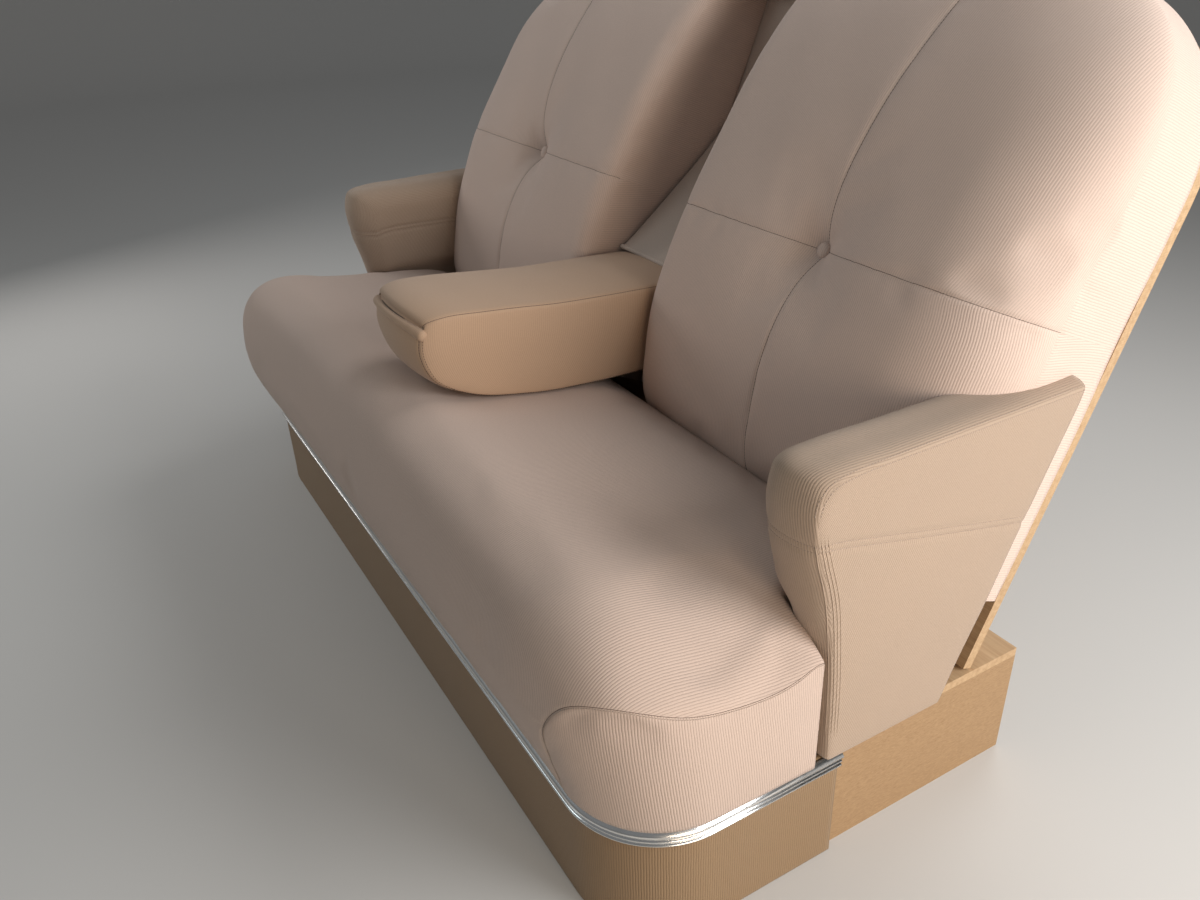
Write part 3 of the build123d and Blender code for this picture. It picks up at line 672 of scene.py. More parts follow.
def plain_steel_finish(name):
    """Bright drawn steel, with fine lines along it."""
    finish = Finish(name, metallic=1.0)
    lines = finish.noise(finish.place((1, 40, 40)), 60, 3, 0.6)
    finish.set("Base Color", finish.mix(lines, (0.42, 0.42, 0.43), (0.60, 0.60, 0.60)))
    finish.set("Roughness", finish.between(lines, 0.3, 0.7, 0.28, 0.48))
    finish.bump(lines, 0.00005, 0.6)
    return finish.material


# Colour of each cord cloth on its ribs and, as painted shade, in its grooves, and the depth of its ribs. All
# are one cloth: the backs' lighter tone is painted light, and the darker tones of the armrests and the riser
# are painted shade, the riser's the darkest.
cord_cloths = {
    "seat_cloth": ((0.570, 0.445, 0.375), (0.37, 0.27, 0.22), 0.00045),
    # Painted light: lighter than the seat's cloth.
    "back_cloth": ((0.700, 0.550, 0.470), (0.49, 0.37, 0.31), 0.00030),
    # Painted shade: the armrests' cloths are darker than the seat's.
    "armrest_cloth": ((0.485, 0.330, 0.223), (0.40, 0.27, 0.18), 0.00015),
    "side_cloth": ((0.430, 0.325, 0.245), (0.305, 0.217, 0.157), 0.00045),
    # Painted shade: the riser's cloth is much darker than the seat's.
    "riser_cloth": ((0.285, 0.185, 0.100), (0.170, 0.105, 0.052), 0.00045),
}
other_finishes = {
    "bright_moulding": chrome_finish,
    "hardwood": wood_finish,
    "plywood": ply_finish,
    "black_steel": black_steel_finish,
    "plain_steel": plain_steel_finish,
}
finishes = {name: cord_finish(name, *look) for name, look in cord_cloths.items()}
finishes["recess_cloth"] = plain_cloth_finish("recess_cloth", (0.72, 0.60, 0.51))
finishes |= {name: make(name) for name, make in other_finishes.items()}
# Painted shade: seam_shadow is a dark thread finish for the tubes sunk into the seam grooves and for the slit
# over the armrest's lip; the stitches of the backs and the armrest use it too.
seam_shadow = thread_finish("seam_shadow", (0.16, 0.115, 0.09))
seam_thread = thread_finish("seam_thread", (0.52, 0.41, 0.34))


def dress_nodes():
    """Gives each CAD node the finish of its slot in the record."""
    for part in frame["record"]["subparts"]:
        materials = frame["nodes"][part["node"]].data.materials
        materials.clear()
        materials.append(finishes[part["material_slot"]])


dress_nodes()


# Cords, painted seam shade and stitches
def tube_grid(line, radius, around=14, flatten=1.0):
    """Grid of a round welt along a line, drawn in at both ends."""
    radii = np.broadcast_to(radius, len(line))
    ahead = unit(np.gradient(line, axis=0))
    up = np.array([0.0, 0.0, 1.0]) if abs(ahead[0, 2]) < 0.9 else np.array([1.0, 0.0, 0.0])
    angles = np.linspace(0, 2 * pi, around + 1)
    rings = []
    for point, way, size in zip(line, ahead, radii):
        first = unit(np.cross(way, up))
        up = np.cross(first, way)
        ring = np.outer(np.cos(angles), first) + flatten * np.outer(np.sin(angles), up)
        rings.append(point + size * ring)
    tips = [line[0] - ahead[0] * radii[0] * 0.5, line[-1] + ahead[-1] * radii[-1] * 0.5]
    small_rings = [tip + (rings[i] - line[i]) * 0.6 for tip, i in zip(tips, (0, -1))]
    starts, ends = [np.repeat(tip[None], around + 1, axis=0) for tip in tips]
    return np.array([starts, small_rings[0]] + rings + [small_rings[1], ends])


def tube(name, line, radius, material, around=14, flatten=1.0, turned=False):
    """Round welt of cloth along a line, closed at both ends."""
    cover = Cover()
    cover.panel(tube_grid(line, radius, around, flatten), turned=turned)
    return cover.build(name, material)


def seam_shade_lines(name, body, slot, tree, lines, radius=0.4):
    """Thin dark tubes sunk into the seams of a cover, as one mesh: painted shade in the seam grooves."""
    cover = Cover()
    for line in lines:
        places, _ = laid(tree, evenly(line, 3.0), -0.2)
        cover.panel(tube_grid(places, radius, 6))
    ride(cover.build(name, seam_shadow, weld=0.001), body, slot=slot)


def stitches(name, body, slot, tree, lines, material, pitch, length, radius, lift=0.15):
    """Rows of short stitches on a cover, as one mesh. The middle of each stands out a little."""
    cover = Cover()
    for line in lines:
        run = lengths_along(line)[-1]
        for number in range(int(run / pitch)):
            ends = (number + 0.5) * pitch + np.array([-0.5, 0.0, 0.5]) * length
            places, ways = laid(tree, at_shares(line, ramp(ends, run)), lift)
            places[1] += 0.25 * ways[1]
            cover.panel(tube_grid(places, radius, 5))
    ride(cover.build(name, material, weld=0.001), body, slot=slot)


# Seat cushion: middle profile y and z, then the x, y and z of the sewn edge of its end
cushion_sections = np.array([
    (-317, 170, 588, -318, 170),
    (-328, 205, 590, -327, 205),
    (-342, 255, 594, -338, 250),
    (-350, 305, 604, -344, 290),
    (-349, 345, 622, -340, 322),
    (-339, 382, 645, -330, 344),
    (-318, 407, 668, -314, 352),
    (-290, 420, 687, -294, 352),
    (-258, 423, 701, -266, 343),
    (-222, 418, 710, -232, 331),
    (-185, 410, 713, -195, 322),
    (-145, 403, 714, -155, 316),
    (-105, 397, 714, -110, 316),
    (-63, 391, 712, -63, 326),
    (-20, 386, 712, -20, 330),
    (28, 379, 712, 28, 330),
    (70, 366, 712, 70, 330),
    (100, 341, 712, 100, 320),
    (115, 312, 712, 115, 300),
    (118, 285, 712, 118, 285),
], float)
cushion_corner_section = cushion_sections[3]
cushion_t_section = cushion_sections[13]
cushion_t_y = cushion_t_section[0]
cushion_t_half_width = 637.0
cushion_end_run = 105.0
cushion_step = 10.0
end_roll_start = 0.78
far_roll_start = 0.85
far_front_swell = 14.0
front_swell_y = -200.0
foot_corner_x, foot_corner_y, foot_corner_radius = 591.7, -200.0, 118.3


def cushion_crown(x, y):
    """Height added across the cushion: a low crown and two sitting hollows."""
    crown = 4 - np.where(x > 0, 12, 2) * np.clip(np.abs(x) / 500, 0, 1.2) ** 1.6
    hollow = 5 * np.exp(-((np.abs(x) - 385) / 170) ** 2 - ((y + 110) / 120) ** 2)
    return crown - hollow


def cushion_face(rows, shares):
    """Front and top of the cushion, from rows of its sections and shares of its half width."""
    middle_y, middle_z, end_x, end_y, end_z = rows.T[..., None]
    size = np.abs(shares)
    roll_start = np.where(shares > 0, end_roll_start, far_roll_start)
    blend = ramp(size - roll_start, 1 - roll_start)[None] ** 2.4
    x = shares[None] * end_x
    y = middle_y + (end_y - middle_y) * blend
    z = middle_z + (end_z - middle_z) * blend
    on_front = ramp(middle_z - deck_z, 90) * ramp(front_swell_y - middle_y, 100)
    y = y - far_front_swell * on_front * ramp(-shares, 1)[None] ** 1.5
    on_top = ramp(middle_z - 330, 70)
    z = z + on_top * (1 - blend) * cushion_crown(x, y)
    before_t = y <= cushion_t_y + 1
    beside = ramp(size[None] - cushion_t_half_width / seat_half_width + 0.02, 0.04)
    z = z - 4 * before_t * beside * roll_drop(np.abs(y - cushion_t_y), 20)
    z = z - 10 * ~before_t * roll_drop(np.abs(cushion_t_half_width - np.abs(x)), 20)
    return np.stack([x, y, z], axis=-1)


def foot_line():
    """Line of the cushion's foot at its left end, from the front round the corner to the T."""
    turns = np.linspace(0, pi / 2, 24)
    corner = np.column_stack([
        foot_corner_x + foot_corner_radius * np.sin(turns),
        foot_corner_y - foot_corner_radius * np.cos(turns),
    ])
    line = np.vstack([[cushion_sections[0][2:4]], corner, [(cushion_t_section[2] - 1, cushion_t_y)]])
    return np.column_stack([line, np.full(len(line), deck_z)])


def cushion_end(edge, corner_row):
    """Side panel under the sewn edge of the cushion's left end, and the levels of its rear edge."""
    left, high = edge[:corner_row + 1], edge[corner_row:]
    right = np.tile(edge[-1], (len(left), 1))
    right[:, 2] = deck_z + (edge[-1, 2] - deck_z) * run_shares(left)
    low = at_shares(foot_line(), run_shares(high))
    low[0] = left[0]
    panel = coons(low, high, left, right)
    panel = panel + grid_normals(panel) * swell_of(panel, 7.0, 1.0)[..., None]
    return panel, 1 - run_shares(left)[::-1]


def wall_to_deck(edge, levels):
    """Wall from an edge of the cushion straight down to the deck."""
    return wall_between(edge, edge * (1, 1, 0) + (0, 0, deck_z), levels)


def make_seat_cushion():
    """T-shaped cushion, sewn along the edges of its ends, with walls down to the deck."""
    curve = smooth_curve(cushion_sections)
    breaks = [0.0, share_of(curve, cushion_corner_section), share_of(curve, cushion_t_section), 1.0]
    stations, parts = graded_parts(
        breaks, [False, True, False, False], lengths_along(curve)[-1] / 1.4, [cushion_step] * 3,
    )
    corner_row = len(parts[0]) - 1
    t_row = corner_row + len(parts[1]) - 1
    t_share = cushion_t_half_width / seat_half_width
    inner = t_share * graded(cushion_t_half_width, cushion_step, False, False)
    outer = t_share + (1 - t_share) * graded(cushion_end_run, cushion_step, at_start=False)
    half = np.concatenate([inner, outer[1:]])
    shares = np.concatenate([-half[:0:-1], half])
    face = cushion_face(at_shares(curve, stations), shares)

    middle, count = len(shares) // 2, len(outer)
    narrow = slice(count - 1, len(shares) - count + 1)
    cover = Cover()
    cover.panel(face[:t_row + 1], start=middle)
    cover.panel(face[t_row:, narrow], start=middle - count + 1)
    for side in (-1, 1):
        outward = face if side > 0 else face[:, ::-1]
        end, levels = cushion_end(outward[:t_row + 1, -1] * (side, 1, 1), corner_row)
        cover.panel(end * (side, 1, 1), start=end.shape[1] // 2)
        cover.panel(wall_to_deck(outward[t_row, -count:], levels))
        cover.panel(wall_to_deck(outward[t_row:, -count], levels))
    cover.panel(wall_to_deck(face[-1, narrow], levels))
    cushion = cover.build("seat_cushion_cover", finishes["seat_cloth"])

    seams = [face[:t_row + 1, column] for column in (0, -1)]
    points = mesh_points(cushion)
    x, y, z = points.T
    to_seam = np.minimum(*[distance_to(points, seam) for seam in seams])
    in_neck = (y > cushion_t_y - 1) & ((np.abs(x) > cushion_t_half_width - 12) | (z < 290))
    puff(cushion, (to_seam < 1) | (z < deck_z + 8) | (y > 84) | in_neck, pressure=1.0, spare=0.003)
    for seam in seams:
        sink_seam(cushion, seam, 0.9, 2.2)
    subdivide(cushion)
    ride(cushion, "root", "seat_cushion", slot="seat_cloth", fill=0.8)
    tree = surface_of(cushion)
    seam_shade_lines("seat_cushion_seam_shade", "root", "seat_cloth", tree, seams)
    outside = [seam + (np.sign(seam[0, 0]) * 1.2, -0.6, -1.8) for seam in seams]
    stitches(
        "seat_cushion_stitches", "root", "seat_cloth", tree, outside, seam_thread,
        pitch=3.1, length=1.5, radius=0.45,
    )


make_seat_cushion()

# Back cushions: depth of the middle of a cushion, by height up the board
back_profile = smooth_curve([
    (-165, 112), (-158, 137), (-140, 160), (-110, 178), (-65, 191), (11, 206), (87, 210), (162, 207),
    (225, 197), (300, 183), (400, 158), (470, 132), (512, 109), (541, 78), (556, 46),
])
back_seam_x = 380.0
back_seam_up = 162.0
back_seam_top_x = 410.0
button_x = 378.0
inner_corner = 60.0
outer_corner = 220.0
corner_fade = radians(45)
tuft_depth = 46.0
tuft_core = 14.0
tuft_spread = 42.0
back_step = 9.0
skirt_run, skirt_step = 120.0, 18.0


def edge_drop(x, up, edge_x, corner, radius):
    """Roll at a side edge of a back cushion, which runs out round the corner before the top."""
    inward = np.abs(edge_x - x)
    across, above = corner - inward, up - back_top + corner
    turn = (across > 0) & (above > 0)
    gap = np.where(turn, corner - np.hypot(across, above), inward)
    angle = np.arctan2(across, np.maximum(above, 1e-6))
    share = np.sin(ramp(angle, corner_fade) * pi / 2) ** 2
    return np.where(turn, share, 1.0) * roll_drop(gap, radius)


def back_depth(x, up):
    """Depth of a back cushion's face at a point of the board, for the left cushion."""
    full = np.interp(up, back_profile[:, 0], back_profile[:, 1])
    full = full + 8 * (1 - ((x - (back_inner_x + back_outer_x) / 2) / (back_outer_x - back_inner_x) * 2) ** 2)
    inner_drop = 0.13 * edge_drop(x, up, back_inner_x, inner_corner, 30)
    outer_drop = 0.45 * edge_drop(x, up, back_outer_x, outer_corner, 130)
    reach = np.sqrt((x - button_x) ** 2 + (up - back_seam_up) ** 2 + tuft_core ** 2) - tuft_core
    return full * (1 - inner_drop - outer_drop) - tuft_depth * np.exp(-reach / tuft_spread)


def arc(centre_x, centre_up, radius, first, last):
    """Part of a circle on the board, between two angles in degrees."""
    angles = np.radians(np.linspace(first, last, 40))
    return np.column_stack([centre_x + radius * np.cos(angles), centre_up + radius * np.sin(angles)])


def back_quarters():
    """Four panels of a back cushion on the board, each as its low, high, left and right edge."""
    inner_arc = (back_inner_x + inner_corner, back_top - inner_corner, inner_corner)
    outer_arc = (back_outer_x - outer_corner, back_top - outer_corner, outer_corner)
    inner_low, inner_end = (back_inner_x, back_bottom), (back_inner_x, back_seam_up)
    outer_low, outer_end = (back_outer_x, back_bottom), (back_outer_x, back_seam_up)
    low, middle, high = (back_seam_x, back_bottom), (back_seam_x, back_seam_up), (back_seam_top_x, back_top)
    edges = [
        [(inner_low, low), (inner_end, middle), (inner_low, inner_end), (low, middle)],
        [(low, outer_low), (middle, outer_end), (low, middle), (outer_low, outer_end)],
        [(inner_end, middle), (*arc(*inner_arc, 135, 90), high),
         (inner_end, *arc(*inner_arc, 180, 135)), (middle, high)],
        [(middle, outer_end), (high, *arc(*outer_arc, 90, 45)),
         (middle, high), (outer_end, *arc(*outer_arc, 0, 45))],
    ]
    return [[np.array(edge, float) for edge in quarter] for quarter in edges]


def on_face(side, flat):
    """Points on the face of a back cushion, over flat points of the board."""
    x, up = flat[..., 0], flat[..., 1]
    return on_back(side * x, up, back_depth(x, up))


def skirt(side, flat):
    """Wall from the outline of a back cushion's face to the board."""
    levels = graded(skirt_run, skirt_step, at_end=False)
    return wall_between(on_face(side, flat), on_back(side * flat[:, 0], flat[:, 1], 0.0), levels)


def back_cover(side):
    """Face of four panels, with skirts round them."""
    across_shares = [
        graded(back_seam_x - back_inner_x, back_step), graded(back_outer_x - back_seam_x, back_step),
    ]
    along_shares = [
        graded(back_seam_up - back_bottom, back_step), graded(back_top - back_seam_up, back_step),
    ]
    cover = Cover()
    for number, edges in enumerate(back_quarters()):
        is_high, is_outer = divmod(number, 2)
        low, high = [at_shares(edge, across_shares[is_outer]) for edge in edges[:2]]
        left, right = [at_shares(edge, along_shares[is_high]) for edge in edges[2:]]
        low[0], low[-1], high[0], high[-1] = left[0], right[0], left[-1], right[-1]
        cover.panel(on_face(side, coons(low, high, left, right)), start=0 if is_outer else -1)
        cover.panel(skirt(side, high if is_high else low))
        cover.panel(skirt(side, right if is_outer else left))
    return cover


def back_seams(side):
    """Upright and level seam of a back cushion, on its face."""
    ups = np.linspace(back_bottom, back_top, 300)
    upright_x = np.interp(ups, [back_seam_up, back_top], [back_seam_x, back_seam_top_x])
    widths = np.linspace(back_inner_x, back_outer_x, 300)
    level_up = np.full(300, back_seam_up)
    return [on_face(side, np.column_stack(line)) for line in ((upright_x, ups), (widths, level_up))]


def make_back(side):
    """One tufted back cushion of four panels, with its sides down to the board."""
    name = side_name(side) + "_back_cushion"
    cushion = back_cover(side).build(name + "_cover", finishes["back_cloth"])
    seams = back_seams(side)
    button = on_back(side * button_x, back_seam_up, back_depth(button_x, back_seam_up))
    points = mesh_points(cushion)
    x, y, z = points.T
    out = (y - board_origin_y) * -cos(back_lean) + (z - board_origin_z) * sin(back_lean)
    held = (np.linalg.norm(points - button, axis=1) < 16) | (z < 335)
    held |= (out < 60) | ((np.abs(x) < back_inner_x + 1) & (out < 150))
    for seam in seams:
        held |= distance_to(points, seam) < 1
    uneven(cushion, 1.6, 130.0, 3.0 * side)
    puff(cushion, held, pressure=0.9, spare=0.004)
    for seam in seams:
        sink_seam(cushion, seam, 1.0, 2.4)
    subdivide(cushion)
    ride(cushion, "root", name, slot="back_cloth", fill=0.8)

    # The seams stop at the button
    halves = []
    for seam in seams:
        first, last = np.flatnonzero(np.linalg.norm(seam - button, axis=1) <= 9)[[0, -1]]
        halves += [seam[:first], seam[last + 1:]]
    tree = surface_of(cushion)
    seam_shade_lines(name + "_seam_shade", "root", "back_cloth", tree, halves, radius=0.38)
    stitches(
        name + "_stitches", "root", "back_cloth", tree, halves, seam_shadow,
        pitch=4.4, length=1.5, radius=0.34, lift=0.1,
    )


for back_side in (1, -1):
    make_back(back_side)

# Side armrests: y and z along the cover, from the rear over the nose to the foot,
# at six places across it, from the sewn outer edge to the inner side
side_columns_x = np.array([712, 703, 675, 645, 628, 620], float)
side_sections = np.array([
    [(287.6, 545.5), (289.5, 550), (290.2, 552), (289.5, 550), (284.5, 538), (277, 520)],
    [(180, 545.5), (180, 550), (180, 552), (180, 550), (180, 538), (180, 520)],
    [(60, 545.5), (60, 550), (60, 552), (60, 550), (60, 538), (60, 520)],
    [(0, 545.5), (0, 550), (0, 552.5), (0, 551), (0, 538), (4, 520)],
    [(-37, 545), (-38, 550), (-40, 553), (-36, 552), (-29, 539), (-19, 519)],
    [(-58, 543), (-62, 548), (-68, 551.5), (-63, 551), (-50, 538), (-36, 517)],
    [(-76, 537), (-82, 542), (-91, 546), (-87, 546), (-71, 533), (-50, 511)],
    [(-86, 525), (-90, 529), (-97, 533), (-94, 532), (-77, 520), (-57, 501)],
    [(-90, 508), (-94, 510), (-101, 513), (-98, 512), (-81, 504), (-60, 490)],
    [(-89, 490), (-93, 490.5), (-100, 492), (-97, 491), (-81, 487), (-60, 480)],
    [(-84, 470), (-90, 470.5), (-98, 471), (-95, 471), (-79, 470), (-59, 468)],
    [(-79, 450), (-86, 450), (-94, 450), (-91, 450), (-76, 450), (-57, 450)],
    [(-71, 424), (-78, 424), (-87, 424), (-84, 424), (-70, 424), (-54, 424)],
    [(-62, 385), (-69, 385), (-77, 385), (-74, 385), (-62, 385), (-49, 385)],
    [(-56, 340), (-59, 340), (-64, 340), (-61, 340), (-52, 340), (-42, 340)],
    [(-50, 270), (-52, 270), (-55, 270), (-53, 270), (-47, 270), (-39, 270)],
    [(-47, 196), (-49, 196), (-50, 196), (-49, 196), (-45, 196), (-38, 196)],
    [(-46, 170), (-48, 170), (-49, 170), (-48, 170), (-44, 170), (-37, 170)],
], float)
side_corner_section = side_sections[6].ravel()
side_seam_section = side_sections[10].ravel()
side_outer_rear_seam_z = 398.0
side_inner_rear_seam_z = 466.0
side_rear_depth = 60.0
side_width, foot_width = 92.0, 71.0
foot_top = 400.0
foot_blend = 34.0


def side_rear(z):
    """Place of a side armrest's rear end, which lies along the back."""
    return board_origin_y - (side_rear_depth - (z - board_origin_z) * sin(back_lean)) / cos(back_lean)


def narrow_foot(grid):
    """Draws the inner side outward below the armrest, where the seat cushion's T fits in."""
    share = ramp(foot_top - grid[..., 2], foot_blend)
    share = share * share * (3 - 2 * share)
    out = grid.copy()
    out[..., 0] = side_outer_x - (side_outer_x - grid[..., 0]) * (1 - share * (1 - foot_width / side_width))
    return out


def side_band():
    """Band over the top, nose and front of the left armrest, with the spacing of its parts."""
    curve = smooth_curve(side_sections.reshape(len(side_sections), -1))
    breaks = [0.0, share_of(curve, side_corner_section), share_of(curve, side_seam_section), 1.0]
    whole = lengths_along(curve)[-1] / np.sqrt(len(side_columns_x))
    stations, parts = graded_parts(breaks, [False, False, True, False], whole, [11, 7, 11])
    rows = at_shares(curve, stations).reshape(len(stations), -1, 2)
    lines = [smooth_curve(np.column_stack([side_columns_x, row]), dense=200) for row in rows]
    shares = graded(lengths_along(lines[0])[-1], 7, True, False)
    return narrow_foot(np.array([at_shares(line, shares) for line in lines])), parts, shares


def side_flank(edge, rear_seam_z, parts):
    """Side of the armrest under an edge of its band, with its foot."""
    corner_row = len(parts[0]) - 1
    top, front = edge[:corner_row + 1], edge[corner_row:]
    heights = np.concatenate([
        edge[0, 2] + (rear_seam_z - edge[0, 2]) * parts[1],
        (rear_seam_z + (deck_z - rear_seam_z) * parts[2])[1:],
    ])
    rear = np.column_stack([np.full(len(heights), edge[0, 0]), side_rear(heights), heights])
    rear = narrow_foot(rear)
    rear[0] = top[0]
    foot = rear[-1] + (front[-1] - rear[-1]) * run_shares(top)[:, None]
    return coons(foot, top, rear[::-1], front[::-1]), foot


def side_wales(name, tree, path, inward, mirror):
    """Raised cords beside the sewn edge, down the front of the armrest."""
    upright = (path[:, 2] < 500) & (path[:, 2] > 186)
    ropes = [path + gap * inward for gap in (3.5, 7.5, 11.5)] + [path + (-4.5, 0, 0) - 2.0 * inward]
    cover = Cover()
    for rope in ropes:
        places, _ = laid(tree, evenly(rope[upright] * mirror, 5.0), -0.35)
        number = np.arange(len(places))
        fade = np.clip(np.minimum(number, number[::-1]) / 6.0, 0.25, 1)
        cover.panel(tube_grid(places, 0.95 * fade, 8))
    ride(cover.build(name, finishes["side_cloth"], weld=0.001), "root", slot="side_cloth")


def make_side_armrest(side):
    """One side armrest with its panel down to the deck, a seam round it and a sewn outer edge."""
    mirror = (side, 1, 1)
    name = side_name(side)
    band, parts, band_shares = side_band()
    corner_row = len(parts[0]) - 1
    seam_row = corner_row + len(parts[1]) - 1
    outer, outer_foot = side_flank(band[:, 0], side_outer_rear_seam_z, parts)
    inner, inner_foot = side_flank(band[:, -1], side_inner_rear_seam_z, parts)
    outer[..., 0] += swell_of(outer, 2.5, 0.5)
    inner[..., 0] -= swell_of(inner, 3.0, 0.5)
    rear_foot = outer_foot[0] + (inner_foot[0] - outer_foot[0]) * band_shares[:, None]
    cover = Cover()
    cover.panel(band * mirror, start=band.shape[1] // 2)
    for grid in (outer, inner, coons(outer_foot, inner_foot, rear_foot, band[-1])):
        cover.panel(grid * mirror)
    armrest = cover.build(name + "_side_armrest_cover", finishes["side_cloth"])

    flat_row = len(parts[2]) - 1
    seam_line = np.concatenate([outer[flat_row], band[seam_row], inner[flat_row][::-1]]) * mirror
    seam_edges = [seam_line + (0, 0, 4), seam_line - (0, 0, 4)]
    uneven(armrest, 0.7, 90.0, 1.7 * side)
    for seam in seam_edges[::-1]:
        sink_seam(armrest, seam, 2.2, 2.2)
    path = band[:, 0]
    sink_seam(armrest, path * mirror, 1.3, 2.4)
    subdivide(armrest)
    ride(armrest, "root", name + "_side_armrest", name + "_side_panel", slot="side_cloth", fill=0.8)

    tree = surface_of(armrest)
    inward = unit(np.cross((1.0, 0.0, 0.0), np.gradient(path, axis=0)))
    side_wales(name + "_side_wales", tree, path, inward, mirror)
    beside_edge = [path + 3.0 * inward, path + (-3.5, 0, 0) - 2.0 * inward]
    stitched = seam_edges + [line[:corner_row + 6] * mirror for line in beside_edge]
    stitches(
        name + "_side_stitches", "root", "side_cloth", tree, stitched, seam_thread,
        pitch=4.0, length=2.4, radius=0.35, lift=0.0,
    )


for armrest_side in (1, -1):
    make_side_armrest(armrest_side)

# Centre armrest: edges of its left side, from which its panels are made
pad_top_edge = smooth_curve([
    (84, -239, 535), (88, -235, 541), (93, -223, 546), (95, -204, 548), (96, -170, 546), (96, -118, 541),
    (96, -40, 532), (96, 23, 527), (96, 114, 522), (96, 188, 517),
])
pad_front_edge = smooth_curve([
    (84, -239, 535), (84, -243, 522), (84, -246, 506), (84, -242, 479), (87, -229, 453), (90, -206, 436),
])
pad_low_edge = smooth_curve([
    (90, -206, 436), (94, -164, 419), (95, -109, 406), (96, -56, 398), (96, -1, 393), (96, 94, 389),
    (96, 188, 388),
])
pad_length, pad_front_width = 435.0, 172.0
lip_half_width, lip_y, lip_z = 87.0, -238.0, 525.0


def pad_panels():
    """Top, nose and bottom of the armrest's pad, its left side, and the line between top and nose."""
    long_shares = graded(pad_length, 9, True, False)
    front_shares = graded(lengths_along(pad_front_edge)[-1], 8)
    wide_shares = graded(pad_front_width, 8)
    top_edge = at_shares(pad_top_edge, long_shares)
    front_edge = at_shares(pad_front_edge, front_shares)
    low_edge = at_shares(pad_low_edge, long_shares)
    rear_edge = top_edge[-1] + (low_edge[-1] - top_edge[-1]) * front_shares[:, None]

    def across(end, deeper, higher):
        """Curved line from the far side to the near one, pushed forward and up in its middle."""
        x = (2 * wide_shares - 1) * end[0]
        hill = 1 - np.abs(x / end[0]) ** 2
        line = np.column_stack([x, end[1] - deeper * hill, end[2] + higher * hill ** 0.8])
        line[0], line[-1] = end * (-1, 1, 1), end
        return line

    front_line = across(front_edge[0], 11.0, 9.0)
    nose_foot = across(front_edge[-1], 14.0, 0.0)
    flank = coons(front_edge, rear_edge, top_edge, low_edge)
    flank[..., 0] += swell_of(flank, 4.0, 0.4)
    wide_panels = [
        coons(low, high, edge * (-1, 1, 1), edge) for low, high, edge in (
            (front_line, across(top_edge[-1], 0.0, 8.0), top_edge),
            (front_line, nose_foot, front_edge),
            (nose_foot, across(low_edge[-1], 0.0, -2.0), low_edge),
        )
    ]
    return wide_panels, flank, front_line


def make_armrest_pad():
    """Pad of the centre armrest, sewn along its edges."""
    wide_panels, flank, front_line = pad_panels()
    cover = Cover()
    for panel in wide_panels:
        cover.panel(panel, start=panel.shape[1] // 2)
    for side in (1, -1):
        cover.panel(flank * (side, 1, 1), turned=True)
    pad = cover.build("armrest_pad_cover", finishes["armrest_cloth"])
    uneven(pad, 0.8, 110.0, 2.0)
    edges = (pad_top_edge, pad_front_edge, pad_low_edge)
    seams = [edge * (side, 1, 1) for side in (1, -1) for edge in edges]
    sink_seam(pad, front_line, 5.0, 3.5)
    for seam in seams:
        sink_seam(pad, seam, 1.6, 2.6)
    subdivide(pad)
    ride(pad, "centre_armrest", "armrest_pad", slot="armrest_cloth", fill=0.8)
    tree = surface_of(pad)
    seam_shade_lines("armrest_seam_shade", "centre_armrest", "armrest_cloth", tree, seams)
    beside_front = [(pad_front_edge + (3.0, 5.5, 0.0)) * (side, 1, 1) for side in (1, -1)]
    stitches(
        "armrest_stitches", "centre_armrest", "armrest_cloth", tree, seams + beside_front, seam_shadow,
        pitch=4.2, length=1.8, radius=0.4,
    )


def make_pull_lip():
    """Rolled lip along the armrest's nose, with a thin dark tube over it as painted shade in the slit."""
    x = np.linspace(-lip_half_width, lip_half_width, 60)
    size = np.abs(x / lip_half_width)
    hill = 1 - size ** 2
    line = np.column_stack([x, lip_y - 16 * hill, lip_z + 10 * hill ** 0.8])
    lip = tube("armrest_lip_cover", line, 6.0 + 2.8 * size ** 3, finishes["armrest_cloth"], turned=True)
    ride(lip, "centre_armrest", "armrest_pull_lip", slot="armrest_cloth", fill=0.8)
    # Painted shade: a thin dark tube in the slit over the lip.
    slit = tube("armrest_lip_slit_shade", line + (0, 4.5, 4.6), 1.2, seam_shadow, around=8)
    ride(slit, "centre_armrest", slot="armrest_cloth")


make_armrest_pad()
make_pull_lip()

# Riser: cloth over the board that carries it, and the bright moulding of three beads round its top
corner_steps = 28
riser_corner = 112.0
riser_thickness = 9.0
riser_height = 170.0
# Heights of the cloth's rows, and how far each stands out
riser_rows = [(0, 0), (2, 0.5), (6, 0.4)] + [(z, 0) for z in (20, 40, 60, 80, 100, 120, 140, 155, 170)]
# Share of the moulding's height and of its depth for each bead, from the lowest
bead_shares = [(0.25, 0.78), (0.25, 0.78), (0.5, 1.0)]


def riser_path(outward):
    """Line round the front and both ends of the riser, from right to left."""
    half = riser_half_width - riser_corner
    radius = riser_corner + outward
    angles = np.linspace(0, pi / 2, corner_steps)
    corner = np.column_stack([
        half + radius * np.cos(angles), riser_front_y + riser_corner - radius * np.sin(angles),
    ])
    right = np.vstack([[(half + radius, riser_rear_y)], corner])
    return np.vstack([right * (-1, 1), right[::-1]])


